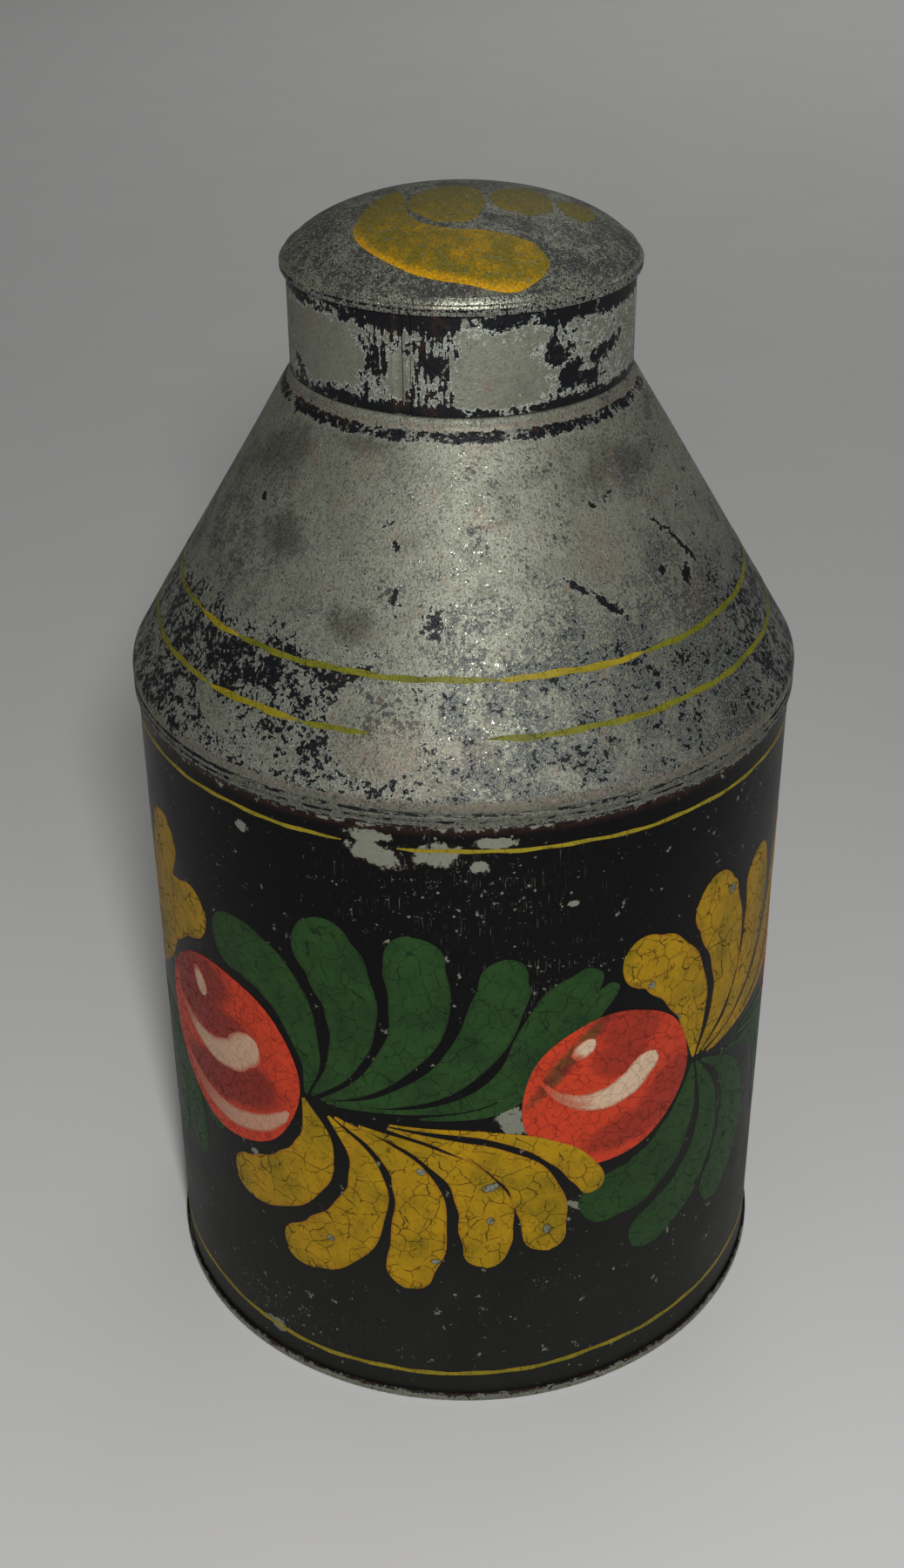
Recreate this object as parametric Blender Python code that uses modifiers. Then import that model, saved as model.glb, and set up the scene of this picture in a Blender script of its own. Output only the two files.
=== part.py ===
"""A round tinplate canister with a coned shoulder, a short neck and a slip-on domed cap.

Sheet-metal pieces are rolled, spun or raised from tinplate and soldered together. Every piece is
a separate closed solid. The origin is the middle of the underside, +Z is up, and the side with
the cap's seam faces -Y. Lengths are metres.
"""

import math

import bmesh
import bpy

# Driving dimensions.
BODY_RADIUS = 0.0600
SHEET = 0.0004            # thickness of the tinplate
GAP = 0.00025             # space left between soldered or nested pieces
SEGMENTS = 64             # facets round every turned or rolled piece

BASE_FLANGE_HEIGHT = 0.0022
BASE_CORNER = 0.0004
SHOULDER_SEAM_Z = 0.1306  # lower edge of the shoulder's flange, over the body wall
SHOULDER_BULGE_Z = 0.1341
SHOULDER_BULGE_RADIUS = 0.0036
CONE_SLOPE = math.radians(59.2)
COLLAR_RADIUS = 0.0294    # seat that the cap's lower edge stands on
COLLAR_Z = 0.1880
COLLAR_HEIGHT = 0.0024

NECK_RADIUS = 0.0280
NECK_FOOT_Z = 0.1846
NECK_TOP_Z = 0.2034

CAP_RADIUS = 0.0294
CAP_SKIRT_TOP_Z = 0.2060
CAP_RIM_RADIUS = 0.03045
CAP_RIM_FOOT_Z = 0.2049
CAP_RIM_TOP_Z = 0.2064
CAP_TOP_Z = 0.2161

BODY_SEAM = math.radians(180.0)
STEP = math.tau / SEGMENTS
CAP_SEAM = -3 * STEP      # about 17 degrees to the left of the front
LAP = SHEET + GAP         # how far the inner ply of a lapped seam steps in
FLANGE_RADIUS = BODY_RADIUS + GAP + SHEET

TIN = ((0.30, 0.30, 0.26), 0.42, 0.85)
BLACK_JAPAN = ((0.012, 0.012, 0.013), 0.32, 0.0)
SOLDER = ((0.36, 0.37, 0.38), 0.5, 0.9)
BURNISHED_TIN = ((0.24, 0.23, 0.20), 0.38, 0.85)


def clear_scene():
    for item in list(bpy.data.objects):
        bpy.data.objects.remove(item)


def collection_named(name):
    group = bpy.data.collections.new(name)
    bpy.context.scene.collection.children.link(group)
    return group


def finish_of(name, look):
    colour, roughness, metallic = look
    material = bpy.data.materials.new(name)
    material.use_nodes = True
    shader = material.node_tree.nodes["Principled BSDF"]
    shader.inputs["Base Color"].default_value = (*colour, 1.0)
    shader.inputs["Roughness"].default_value = roughness
    shader.inputs["Metallic"].default_value = metallic
    return material


def place(name, mesh, group, look):
    """Links a mesh as one named piece with its own finish."""
    piece = bpy.data.objects.new(name, mesh)
    group.objects.link(piece)
    mesh.materials.append(finish_of(name + "_finish", look))
    return piece


def smooth(mesh):
    mesh.shade_smooth()
    mesh.set_sharp_from_angle(angle=math.radians(30.0))


def add_sheet_thickness(piece):
    """Gives an open outer surface the thickness of the sheet, on its inner side."""
    solid = piece.modifiers.new("sheet", "SOLIDIFY")
    solid.thickness = SHEET
    solid.offset = -1.0
    solid.use_even_offset = True


def point_round(angle, radius, height):
    """A point by its angle from the front (-Y), turning towards +X."""
    return (radius * math.sin(angle), -radius * math.cos(angle), height)


def arc(centre, radius, first, last, count):
    """Points of a profile arc, by angles from the horizontal."""
    middle_r, middle_z = centre
    turns = [first + (last - first) * i / count for i in range(count + 1)]
    return [(middle_r + radius * math.cos(t), middle_z + radius * math.sin(t)) for t in turns]


def turned_shell(name, profile, group, look):
    """A spun sheet: an outer profile, from the top of its outer side down, turned round Z."""
    mesh = bpy.data.meshes.new(name)
    shape = bmesh.new()
    points = [shape.verts.new((radius, 0.0, height)) for radius, height in profile]
    for pair in zip(points, points[1:]):
        shape.edges.new(pair)
    shape.to_mesh(mesh)
    shape.free()
    piece = place(name, mesh, group, look)
    turn = piece.modifiers.new("turn", "SCREW")
    turn.axis = "Z"
    turn.angle = math.tau
    turn.steps = SEGMENTS
    turn.render_steps = SEGMENTS
    turn.use_merge_vertices = True
    turn.merge_threshold = 0.00001
    turn.use_smooth_shade = True
    add_sheet_thickness(piece)
    return piece


def extend_sheet(shape, edge_column, turn, inset):
    """Draws the sheet's last edge on round the axis, stepping in by inset."""
    made = bmesh.ops.extrude_edge_only(shape, edges=edge_column)["geom"]
    fresh = [item for item in made if isinstance(item, bmesh.types.BMVert)]
    for point in fresh:
        radius = math.hypot(point.co.x, point.co.y) - inset
        angle = math.atan2(point.co.x, -point.co.y) + turn
        point.co = point_round(angle, radius, point.co.z)
    kept = set(fresh)
    return [item for item in made if isinstance(item, bmesh.types.BMEdge) and set(item.verts) <= kept]


def rolled_sheet(name, profile, seam, ending, group, look):
    """A strip rolled into a tube or cone. It starts at the seam and goes once round the axis.

    ending lists the (turn, inset) steps that follow 63 of the 64 facets.
    """
    mesh = bpy.data.meshes.new(name)
    shape = bmesh.new()
    points = [shape.verts.new(point_round(seam, radius, height)) for radius, height in profile]
    edges = [shape.edges.new(pair) for pair in zip(points, points[1:])]
    spun = bmesh.ops.spin(
        shape,
        geom=points + edges,
        cent=(0.0, 0.0, 0.0),
        axis=(0.0, 0.0, 1.0),
        angle=STEP * (SEGMENTS - 1),
        steps=SEGMENTS - 1,
    )
    column = [item for item in spun["geom_last"] if isinstance(item, bmesh.types.BMEdge)]
    for turn, inset in ending:
        column = extend_sheet(shape, column, turn, inset)
    bmesh.ops.recalc_face_normals(shape, faces=shape.faces)
    shape.to_mesh(mesh)
    shape.free()
    smooth(mesh)
    piece = place(name, mesh, group, look)
    add_sheet_thickness(piece)
    return piece


def swept_bar(name, outline, start, sweep, steps, group, look):
    """A closed outline carried round the axis: a solder fillet, ring or seam strip."""
    mesh = bpy.data.meshes.new(name)
    shape = bmesh.new()
    points = [shape.verts.new(point_round(start, radius, height)) for radius, height in outline]
    face = shape.faces.new(points)
    full = sweep >= math.tau - STEP / 2
    if full:
        bmesh.ops.delete(shape, geom=[face], context="FACES_ONLY")
    bmesh.ops.spin(
        shape,
        geom=shape.verts[:] + shape.edges[:] + shape.faces[:],
        cent=(0.0, 0.0, 0.0),
        axis=(0.0, 0.0, 1.0),
        angle=sweep,
        steps=steps,
        use_merge=full,
    )
    bmesh.ops.recalc_face_normals(shape, faces=shape.faces)
    shape.to_mesh(mesh)
    shape.free()
    smooth(mesh)
    return place(name, mesh, group, look)


def band(radius, foot, top):
    """Profile of a straight rolled wall, top first."""
    return [(radius, top), (radius, foot)]


LAPPED = [(STEP / 2, LAP), (STEP / 2, 0.0), (STEP, 0.0)]
BUTTED = [(STEP - GAP / COLLAR_RADIUS, 0.0)]


def seam_bar(name, radius, foot, top, seam, group):
    """Solder that fills the step outside a lapped seam, flush with the outer ply."""
    outline = [
        (radius - SHEET, foot),
        (radius, foot),
        (radius, top),
        (radius - SHEET, top),
    ]
    clear = GAP / radius
    return swept_bar(name, outline, seam - STEP / 2 + clear, STEP / 2 - 2 * clear, 2, group, SOLDER)


def open_ring(name, outline, seam, group):
    """A solder fillet inside a rolled wall that stops short of the lapped seam on both sides."""
    return swept_bar(
        name, outline, seam + 2 * STEP, math.tau - 4 * STEP, SEGMENTS - 4, group, SOLDER
    )


def cone_radius(height):
    """Outer radius of the shoulder's straight slope."""
    return CONE_FOOT[0] - (height - CONE_FOOT[1]) / math.tan(CONE_SLOPE)


BULGE_CENTRE = (FLANGE_RADIUS - SHOULDER_BULGE_RADIUS, SHOULDER_BULGE_Z)
BULGE_TURN = math.pi / 2 - CONE_SLOPE
CONE_FOOT = (
    BULGE_CENTRE[0] + SHOULDER_BULGE_RADIUS * math.cos(BULGE_TURN),
    BULGE_CENTRE[1] + SHOULDER_BULGE_RADIUS * math.sin(BULGE_TURN),
)


def body_pieces(group):
    wall_foot = SHEET + GAP
    wall_top = SHOULDER_BULGE_Z
    rolled_sheet(
        "body_wall", band(BODY_RADIUS, wall_foot, wall_top), BODY_SEAM, LAPPED, group, BLACK_JAPAN
    )
    seam_bar(
        "body_seam_solder",
        BODY_RADIUS,
        BASE_FLANGE_HEIGHT + 2 * GAP,
        SHOULDER_SEAM_Z - 2 * GAP,
        BODY_SEAM,
        group,
    )
    corner = (FLANGE_RADIUS - BASE_CORNER, BASE_CORNER)
    rounded = arc(corner, BASE_CORNER, 0.0, -math.pi / 2, 3)
    turned_shell(
        "base_plate", [(FLANGE_RADIUS, BASE_FLANGE_HEIGHT), *rounded, (0.0, 0.0)], group, TIN
    )
    inside = BODY_RADIUS - SHEET - GAP
    fillet = 0.0014
    open_ring(
        "base_solder",
        [(inside, wall_foot), (inside, wall_foot + fillet), (inside - fillet, wall_foot)],
        BODY_SEAM,
        group,
    )
    open_ring(
        "shoulder_solder",
        [
            (inside, SHOULDER_BULGE_Z - fillet),
            (inside, SHOULDER_BULGE_Z + fillet),
            (inside - fillet, SHOULDER_BULGE_Z + 2 * fillet),
        ],
        BODY_SEAM,
        group,
    )


def shoulder_pieces(group):
    collar_foot = COLLAR_Z - COLLAR_HEIGHT
    collar_foot_radius = cone_radius(collar_foot)
    seat_inner = NECK_RADIUS + GAP
    edge = 0.0003
    profile = [
        (seat_inner, COLLAR_Z),
        (COLLAR_RADIUS - edge, COLLAR_Z),
        (COLLAR_RADIUS, COLLAR_Z - edge),
        (COLLAR_RADIUS + edge, COLLAR_Z - COLLAR_HEIGHT / 2),
        (collar_foot_radius, collar_foot),
        *reversed(arc(BULGE_CENTRE, SHOULDER_BULGE_RADIUS, 0.0, BULGE_TURN, 4)),
        (FLANGE_RADIUS, SHOULDER_SEAM_Z),
    ]
    rolled_sheet("shoulder_cone", profile, BODY_SEAM, BUTTED, group, TIN)

    def inner(height, depth):
        return (cone_radius(height) - depth / math.sin(CONE_SLOPE), height)

    low, high = 0.140, 0.182
    near, far = SHEET + GAP, 2 * SHEET + GAP
    strip = [inner(low, near), inner(high, near), inner(high, far), inner(low, far)]
    swept_bar("shoulder_seam_solder", strip, BODY_SEAM - STEP / 2, STEP, 2, group, SOLDER)


def neck_pieces(group):
    rolled_sheet(
        "neck_band", band(NECK_RADIUS, NECK_FOOT_Z, NECK_TOP_Z), BODY_SEAM, LAPPED, group, TIN
    )
    seam_bar(
        "neck_seam_solder",
        NECK_RADIUS,
        COLLAR_Z + GAP,
        NECK_TOP_Z - 2 * GAP,
        BODY_SEAM,
        group,
    )
    inner = NECK_RADIUS + GAP
    foot = COLLAR_Z - COLLAR_HEIGHT
    width = 0.0011
    swept_bar(
        "neck_solder",
        [(inner, foot), (inner + width, foot), (inner, foot + width)],
        0.0,
        math.tau,
        SEGMENTS,
        group,
        SOLDER,
    )


def cap_pieces(group):
    skirt_foot = COLLAR_Z + GAP
    rolled_sheet(
        "cap_skirt", band(CAP_RADIUS, skirt_foot, CAP_SKIRT_TOP_Z), CAP_SEAM, LAPPED, group, TIN
    )
    seam_bar(
        "cap_seam_solder",
        CAP_RADIUS,
        skirt_foot + GAP,
        CAP_RIM_FOOT_Z - GAP,
        CAP_SEAM,
        group,
    )
    dome_edge = CAP_RIM_RADIUS - 0.0006
    dome_steps = 9
    rise = CAP_TOP_Z - CAP_RIM_TOP_Z - 0.0002
    angles = [math.pi / 2 * (1 - 0.86 * i / dome_steps) for i in range(dome_steps + 1)]
    spread = dome_edge / math.cos(angles[-1])
    height = rise / (1 - math.sin(angles[-1]))
    dome = [
        (spread * math.cos(a), CAP_TOP_Z - height * (1 - math.sin(a)))
        for a in angles
    ]
    dome[0] = (0.0, CAP_TOP_Z)
    rim = [
        (CAP_RIM_RADIUS - 0.0002, CAP_RIM_TOP_Z - 0.0001),
        (CAP_RIM_RADIUS, CAP_RIM_TOP_Z - 0.0004),
        (CAP_RIM_RADIUS, CAP_RIM_FOOT_Z),
    ]
    turned_shell("cap_top", [*dome, *rim], group, BURNISHED_TIN)
    inside = CAP_RADIUS - SHEET - GAP
    fillet = 0.0012
    open_ring(
        "cap_solder",
        [
            (inside, CAP_SKIRT_TOP_Z - fillet),
            (inside, CAP_SKIRT_TOP_Z + GAP),
            (inside - fillet, CAP_SKIRT_TOP_Z + fillet),
        ],
        CAP_SEAM,
        group,
    )


def main():
    clear_scene()
    canister = collection_named("painted_tin_canister")
    body_pieces(canister)
    shoulder_pieces(canister)
    neck_pieces(canister)
    cap_pieces(canister)


main()
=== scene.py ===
"""Painted tinplate canister with a coned shoulder and a slip-on domed cap.

Lengths are metres unless a name or comment says millimetres. Angles round the tin are measured
from the front (-Y) and grow towards +X. The painting is laid out on the unrolled wall, in
millimetres: the first number of a point is the arc from the front, the second its height.
"""

import math
import random

import bmesh
import bpy
from mathutils import Matrix, Vector


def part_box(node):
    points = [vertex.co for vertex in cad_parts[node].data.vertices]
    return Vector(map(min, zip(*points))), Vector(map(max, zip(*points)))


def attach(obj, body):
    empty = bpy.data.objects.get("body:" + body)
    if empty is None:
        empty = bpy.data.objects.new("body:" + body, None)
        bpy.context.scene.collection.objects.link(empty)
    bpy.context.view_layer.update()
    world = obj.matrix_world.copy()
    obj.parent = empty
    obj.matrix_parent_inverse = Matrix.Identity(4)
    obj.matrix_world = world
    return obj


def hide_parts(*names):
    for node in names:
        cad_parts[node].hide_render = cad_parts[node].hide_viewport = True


bl_info = {
    "name": "Painted tinplate canister",
    "version": (1, 0, 0),
    "blender": (4, 5, 0),
    "location": "View3D > Sidebar > Canister",
    "description": "Builds a painted tinplate canister around its fixed frame",
    "category": "Object",
}

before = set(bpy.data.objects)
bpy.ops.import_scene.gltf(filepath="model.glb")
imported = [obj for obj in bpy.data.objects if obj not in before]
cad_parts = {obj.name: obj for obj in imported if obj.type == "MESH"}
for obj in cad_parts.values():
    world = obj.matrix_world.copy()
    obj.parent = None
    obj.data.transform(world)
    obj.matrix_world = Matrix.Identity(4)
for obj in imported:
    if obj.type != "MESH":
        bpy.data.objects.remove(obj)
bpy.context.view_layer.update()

MM = 0.001
WALL_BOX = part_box("body_wall")
CONE_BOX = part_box("shoulder_cone")
CAP_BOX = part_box("cap_top")
SKIRT_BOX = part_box("cap_skirt")
NECK_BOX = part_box("neck_band")
STROKE_UV = "along_across"
# The wall's radius in millimetres, on which its painting is laid out.
WALL_MM = 60.0
# On this radius one millimetre of arc is one degree.
DEGREES = math.degrees(1.0)
# Paint reaches this far into the sheet under it, so that no gap shows.
SUNK = 0.00003


# ---------------------------------------------------------------- sizes and colours


def length(name, description, default, **extra):
    return bpy.props.FloatProperty(
        name=name, description=description, default=default, unit="LENGTH", precision=5, **extra
    )


def turn(name, description, degrees):
    return bpy.props.FloatProperty(
        name=name, description=description, default=math.radians(degrees), subtype="ANGLE"
    )


def power(name, description, watts):
    return bpy.props.FloatProperty(name=name, description=description, default=watts, unit="POWER")


def tint(name, description, default):
    return bpy.props.FloatVectorProperty(
        name=name, description=description, default=default, subtype="COLOR", size=3, min=0, max=1
    )


class CanisterSizes(bpy.types.PropertyGroup):
    """Sizes of the tin's pieces and of the paint on them"""

    body_radius: length("Body radius", "Outside radius of the wall", WALL_BOX[1].x)
    sheet: length("Sheet", "Thickness of the tinplate", 0.0004)
    gap: length("Gap", "Space left between soldered or nested pieces", 0.00025)
    dent: length("Dents", "How far the rolled sheets stray from true", 0.00012)
    base_flange: length("Base flange", "Height of the base's turned-up edge", 0.0022)
    shoulder_seam: length("Shoulder seam", "Height of the shoulder's lower edge", CONE_BOX[0].z)
    collar_top: length("Collar top", "Height of the seat under the cap", CONE_BOX[1].z)
    cone_slope: turn("Cone slope", "Slope of the shoulder from the level", 59.2)
    body_seam: turn("Body seam", "Where the wall's lapped seam is", 180.0)
    cap_seam: turn("Cap seam", "Where the cap's lapped seam is", -15.8)
    lap: turn("Lap", "Width of half a lapped seam", 2.8125)
    stroke_height: length("Stroke height", "Thickness of a brush stroke", 0.00005)
    fruit_height: length("Fruit height", "Thickness of the fruits' paint", 0.00014)
    light_height: length("Highlight height", "Height of the highlights over the wall", 0.00019)
    line_width: length("Line width", "Width of the painted lines", 0.00105)


class CanisterColours(bpy.types.PropertyGroup):
    """Colours of the tin, the varnish and the paints"""

    black: tint("Black japan", "Black varnish of the body", (0.0018, 0.0018, 0.0020))
    # Greyer varnish low on the body: dust, and also a painted reflection of the floor in the black varnish.
    dust_and_floor_sheen: tint("Dust", "Greyer, duller varnish low on the body", (0.016, 0.016, 0.014))
    tin: tint("Tin", "Dull olive-grey tinplate", (0.22, 0.226, 0.178))
    pale_tin: tint("Pale tin", "Bright flaked edges of the tin", (0.56, 0.60, 0.54))
    dark_tin: tint("Dark tin", "Stained tin", (0.085, 0.085, 0.066))
    rust: tint("Rust", "Pinkish-brown bloom of rust", (0.21, 0.14, 0.105))
    black_fleck: tint("Black fleck", "Flecks of varnish left on the tin", (0.004, 0.0045, 0.006))
    grey_varnish: tint("Grey varnish", "Fine grey speckle of rubbed varnish", (0.030, 0.033, 0.036))
    oxide: tint("Oxide", "Red-brown edge of the old varnish", (0.020, 0.0085, 0.0062))
    solder: tint("Solder", "Dull tin-lead solder", (0.30, 0.31, 0.32))
    green: tint("Green", "Leaf green", (0.017, 0.052, 0.011))
    yellow: tint("Yellow", "Ochre yellow", (0.35, 0.20, 0.002))
    olive: tint("Olive", "Yellow gone green over the tin", (0.130, 0.112, 0.010))
    bright_yellow: tint("Bright yellow", "Thick orange-yellow edge of a stroke", (0.52, 0.27, 0.004))
    line_yellow: tint("Line yellow", "Yellow of the thin lines", (0.26, 0.20, 0.012))
    line_olive: tint("Line olive", "Lines gone green over the cone", (0.15, 0.145, 0.012))
    red: tint("Red", "Orange-red of the fruits", (0.51, 0.040, 0.011))
    deep_red: tint("Deep red", "Shaded red of the fruits", (0.205, 0.016, 0.008))
    pink: tint("Pink", "Highlight thinned over red", (0.42, 0.13, 0.075))
    white: tint("Highlight", "Warm white of the highlights", (0.60, 0.43, 0.29))
    backdrop: tint("Backdrop", "Pale grey paper", (0.70, 0.70, 0.69))


class StudioSettings(bpy.types.PropertyGroup):
    """The camera and the strength of the lights"""

    eye: bpy.props.FloatVectorProperty(
        name="Eye", description="Where the camera stands", default=(0.0, -0.33312, 0.30186),
        subtype="TRANSLATION", size=3, precision=5,
    )
    tilt: turn("Tilt", "How far the camera looks down", 30.84)
    swing: turn("Swing", "How far the camera turns to the right", -0.39)
    roll: turn("Roll", "How far the camera leans", -0.48)
    lens: bpy.props.FloatProperty(
        name="Lens", description="Focal length in millimetres", default=46.13, subtype="DISTANCE_CAMERA"
    )
    key_power: power("Key light", "Power of the light beside the camera", 1.65)
    fill_power: power("Fill light", "Power of the wide light in front", 0.7)
    far_power: power("Far light", "Power of the light over the far floor", 3.5)
    air: bpy.props.FloatProperty(
        name="Room light", description="Strength of the even light of the room", default=0.15, min=0.0
    )


# ---------------------------------------------------------------- shapes of the tin


def on_round(angle, radius, height):
    """A point round the axis, by its angle from the front."""
    return Vector((radius * math.sin(angle), -radius * math.cos(angle), height))


def arc(centre, radius, first, last, count):
    """Points of a profile arc, by angles from the horizontal."""
    turns = [first + (last - first) * i / count for i in range(count + 1)]
    return [(centre[0] + radius * math.cos(t), centre[1] + radius * math.sin(t)) for t in turns]


def ease(value, low, high):
    """0 up to low, 1 from high, and smooth between."""
    share = min(1.0, max(0.0, (value - low) / (high - low)))
    return share * share * (3.0 - 2.0 * share)


def waver(angle, height):
    """A slow, uneven wave from -1 to 1, the same all the way round the back."""
    wave = math.sin(3 * angle + 1.1 + 38 * height)
    wave += 0.6 * math.sin(5 * angle - 0.7 + 71 * height)
    wave += 0.5 * math.sin(9 * angle + 2.3 - 110 * height)
    return wave / 2.1


def wall_radius(angle, height):
    """Outside radius of the rolled wall, true at both ends where it is soldered."""
    sizes = bpy.context.scene.canister_sizes
    held = ease(height, 0.004, 0.02) * (1.0 - ease(height, 0.116, 0.128))
    return sizes.body_radius + sizes.dent * held * waver(angle, height)


def cone_foot():
    """Centre of the bulge at the foot of the cone, its radius, and where the slope leaves it."""
    sizes = bpy.context.scene.canister_sizes
    radius = 0.0036
    centre = (CONE_BOX[1].x - radius, sizes.shoulder_seam + 0.0035)
    turn_up = math.pi / 2 - sizes.cone_slope
    foot = (centre[0] + radius * math.cos(turn_up), centre[1] + radius * math.sin(turn_up))
    return centre, radius, turn_up, foot


def cone_radius(height):
    """Outside radius of the straight slope of the shoulder."""
    foot = cone_foot()[3]
    return foot[0] - (height - foot[1]) / math.tan(bpy.context.scene.canister_sizes.cone_slope)


def on_cone(angle, height, lift=0.0):
    """A point on the slope of the shoulder, lifted square to it."""
    sizes = bpy.context.scene.canister_sizes
    held = ease(height, 0.137, 0.145) * (1.0 - ease(height, 0.175, 0.183))
    lift = lift + 1.2 * sizes.dent * held * waver(angle + 0.8, 0.8 * height)
    slope = sizes.cone_slope
    return on_round(
        angle,
        cone_radius(height) + lift * math.sin(slope),
        height + lift * math.cos(slope),
    )


def dome_height(radius):
    """Height of the cap's dome over a point this far from its middle."""
    spread, rise, paint_room = 0.03058, 0.01215, 0.00006
    share = min(1.0, radius / spread)
    return CAP_BOX[1].z - paint_room - rise * (1.0 - math.sqrt(1.0 - share * share))


def on_dome(across, deep, lift=0.0):
    """A point on the dome, right of and behind its middle, lifted square to it."""
    radius = math.hypot(across, deep)
    step = 0.0002
    slope = (dome_height(radius + step) - dome_height(max(0.0, radius - step))) / (2 * step)
    tall = math.hypot(1.0, slope)
    outward = -slope / tall * lift / max(radius, 1e-6)
    return Vector((
        across * (1.0 + outward),
        deep * (1.0 + outward),
        dome_height(radius) + lift / tall,
    ))


def on_wall(arc_mm, height_mm, lift=0.0):
    """A point on the wall, by its arc from the front and its height."""
    sizes = bpy.context.scene.canister_sizes
    angle = arc_mm * MM / sizes.body_radius
    height = height_mm * MM
    return on_round(angle, wall_radius(angle, height) + lift, height)


# ---------------------------------------------------------------- mesh making


def bend(shape, flat, top, place):
    """Bends a flat slab into place and keeps its flat places as UVs."""
    layer = shape.loops.layers.uv.get(STROKE_UV) or shape.loops.layers.uv.new(STROKE_UV)
    points = flat + top
    for face in {face for point in points for face in point.link_faces}:
        for loop in face.loops:
            loop[layer].uv = loop.vert.co.xy
    for point in points:
        point.co = place(*point.co)


def raise_slab(shape, flat, place):
    """Turns flat faces into a slab one unit thick, then bends it."""
    faces = list({face for point in flat for face in point.link_faces})
    risen = bmesh.ops.extrude_face_region(shape, geom=faces)["geom"]
    top = [item for item in risen if isinstance(item, bmesh.types.BMVert)]
    bmesh.ops.translate(shape, verts=top, vec=(0.0, 0.0, 1.0))
    bend(shape, flat, top, place)


def add_slab(shape, columns, rows, place):
    """A slab one unit square. place(along, across, top) says where each point goes."""
    flat = bmesh.ops.create_grid(shape, x_segments=columns, y_segments=rows, size=0.5)["verts"]
    bmesh.ops.translate(shape, verts=flat, vec=(0.5, 0.5, 0.0))
    raise_slab(shape, flat, place)


def add_disc(shape, rings, spokes, place):
    """A round slab of radius one. place(right, up, top) says where each point goes."""
    before = set(shape.verts)
    start = [shape.verts.new((i / rings, 0.0, 0.0)) for i in range(rings + 1)]
    edges = [shape.edges.new(pair) for pair in zip(start, start[1:])]
    bmesh.ops.spin(
        shape, geom=start + edges, cent=(0.0, 0.0, 0.0), axis=(0.0, 0.0, 1.0),
        angle=math.tau, steps=spokes, use_merge=True,
    )
    fresh = [point for point in shape.verts if point not in before]
    bmesh.ops.remove_doubles(shape, verts=fresh, dist=1e-5)
    flat = [point for point in shape.verts if point not in before]
    raise_slab(shape, flat, place)


def add_turned(shape, outline, steps):
    """A closed outline turned round the axis, closed on the axis where it touches it."""
    points = [shape.verts.new((0.0, -radius, height)) for radius, height in outline]
    edges = [shape.edges.new(pair) for pair in zip(points, points[1:])]
    if outline[0][0] > 0.0:
        edges.append(shape.edges.new((points[-1], points[0])))
    bmesh.ops.spin(
        shape, geom=points + edges, cent=(0.0, 0.0, 0.0), axis=(0.0, 0.0, 1.0),
        angle=math.tau, steps=steps, use_merge=True,
    )
    bmesh.ops.remove_doubles(shape, verts=shape.verts, dist=1e-6)


def inside_of(profile, depth):
    """The same profile moved in by depth. The outside lies on the right of its direction."""
    moved = []
    for i, (radius, height) in enumerate(profile):
        before = profile[max(0, i - 1)]
        after = profile[min(len(profile) - 1, i + 1)]
        run, rise = after[0] - before[0], after[1] - before[1]
        long = math.hypot(run, rise)
        moved.append((radius + rise / long * depth, height - run / long * depth))
    return moved


def finish_piece(name, shape, material, body, replaces=(), crease=32.0):
    """Closes a shape into a named piece that rides on a body of the frame."""
    bmesh.ops.remove_doubles(shape, verts=shape.verts, dist=1e-7)
    bmesh.ops.recalc_face_normals(shape, faces=shape.faces)
    for face in shape.faces:
        face.smooth = True
    for edge in shape.edges:
        if len(edge.link_faces) == 2:
            edge.smooth = edge.calc_face_angle(0.0) < math.radians(crease)
    mesh = bpy.data.meshes.new(name)
    shape.to_mesh(mesh)
    shape.free()
    mesh.materials.append(material)
    piece = bpy.data.objects.new(name, mesh)
    bpy.context.scene.collection.objects.link(piece)
    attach(piece, body)
    if replaces:
        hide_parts(*replaces)
    return piece


def lap_in(turned, lap):
    """How far the inner ply of a lapped seam steps in: 0 along the strip, 1 under the outer ply."""
    start = math.tau - 2.0 * lap
    return min(1.0, max(0.0, (turned - start) / (0.35 * lap)))


def add_lapped_band(shape, columns, rows, seam, foot, top, radius_at, wave=0.0):
    """A strip rolled into a tube whose last stretch steps in under its start."""
    sizes = bpy.context.scene.canister_sizes
    step_in = sizes.sheet + sizes.gap
    long = math.tau + 2.0 * sizes.lap

    def place(along, across, outer):
        turned = along * long
        angle = seam + turned
        height = foot + (top - foot) * across
        height += wave * (0.5 + 0.5 * waver(4 * angle, 0.0)) * (1.0 if across < 0.01 else 0.0)
        radius = radius_at(angle, height) - step_in * lap_in(turned, sizes.lap)
        return on_round(angle, radius - (0.0 if outer else sizes.sheet), height)

    add_slab(shape, columns, rows, place)


def add_bar(shape, seam, radius, foot, top, bulge):
    """Solder lying in the step of a lapped seam, a little proud in the middle."""
    sizes = bpy.context.scene.canister_sizes
    # The angle by which the bar stays clear of either ply.
    clear = 0.00012 / radius

    def place(along, across, outer):
        angle = seam - sizes.lap + clear + (sizes.lap - 2.0 * clear) * across
        height = foot + (top - foot) * along
        swell = bulge * math.sin(math.pi * across) * (1.0 + 0.4 * waver(60 * height, along))
        return on_round(angle, radius + (swell if outer else -sizes.sheet), height)

    add_slab(shape, 60, 6, place)


# ---------------------------------------------------------------- materials


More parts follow.
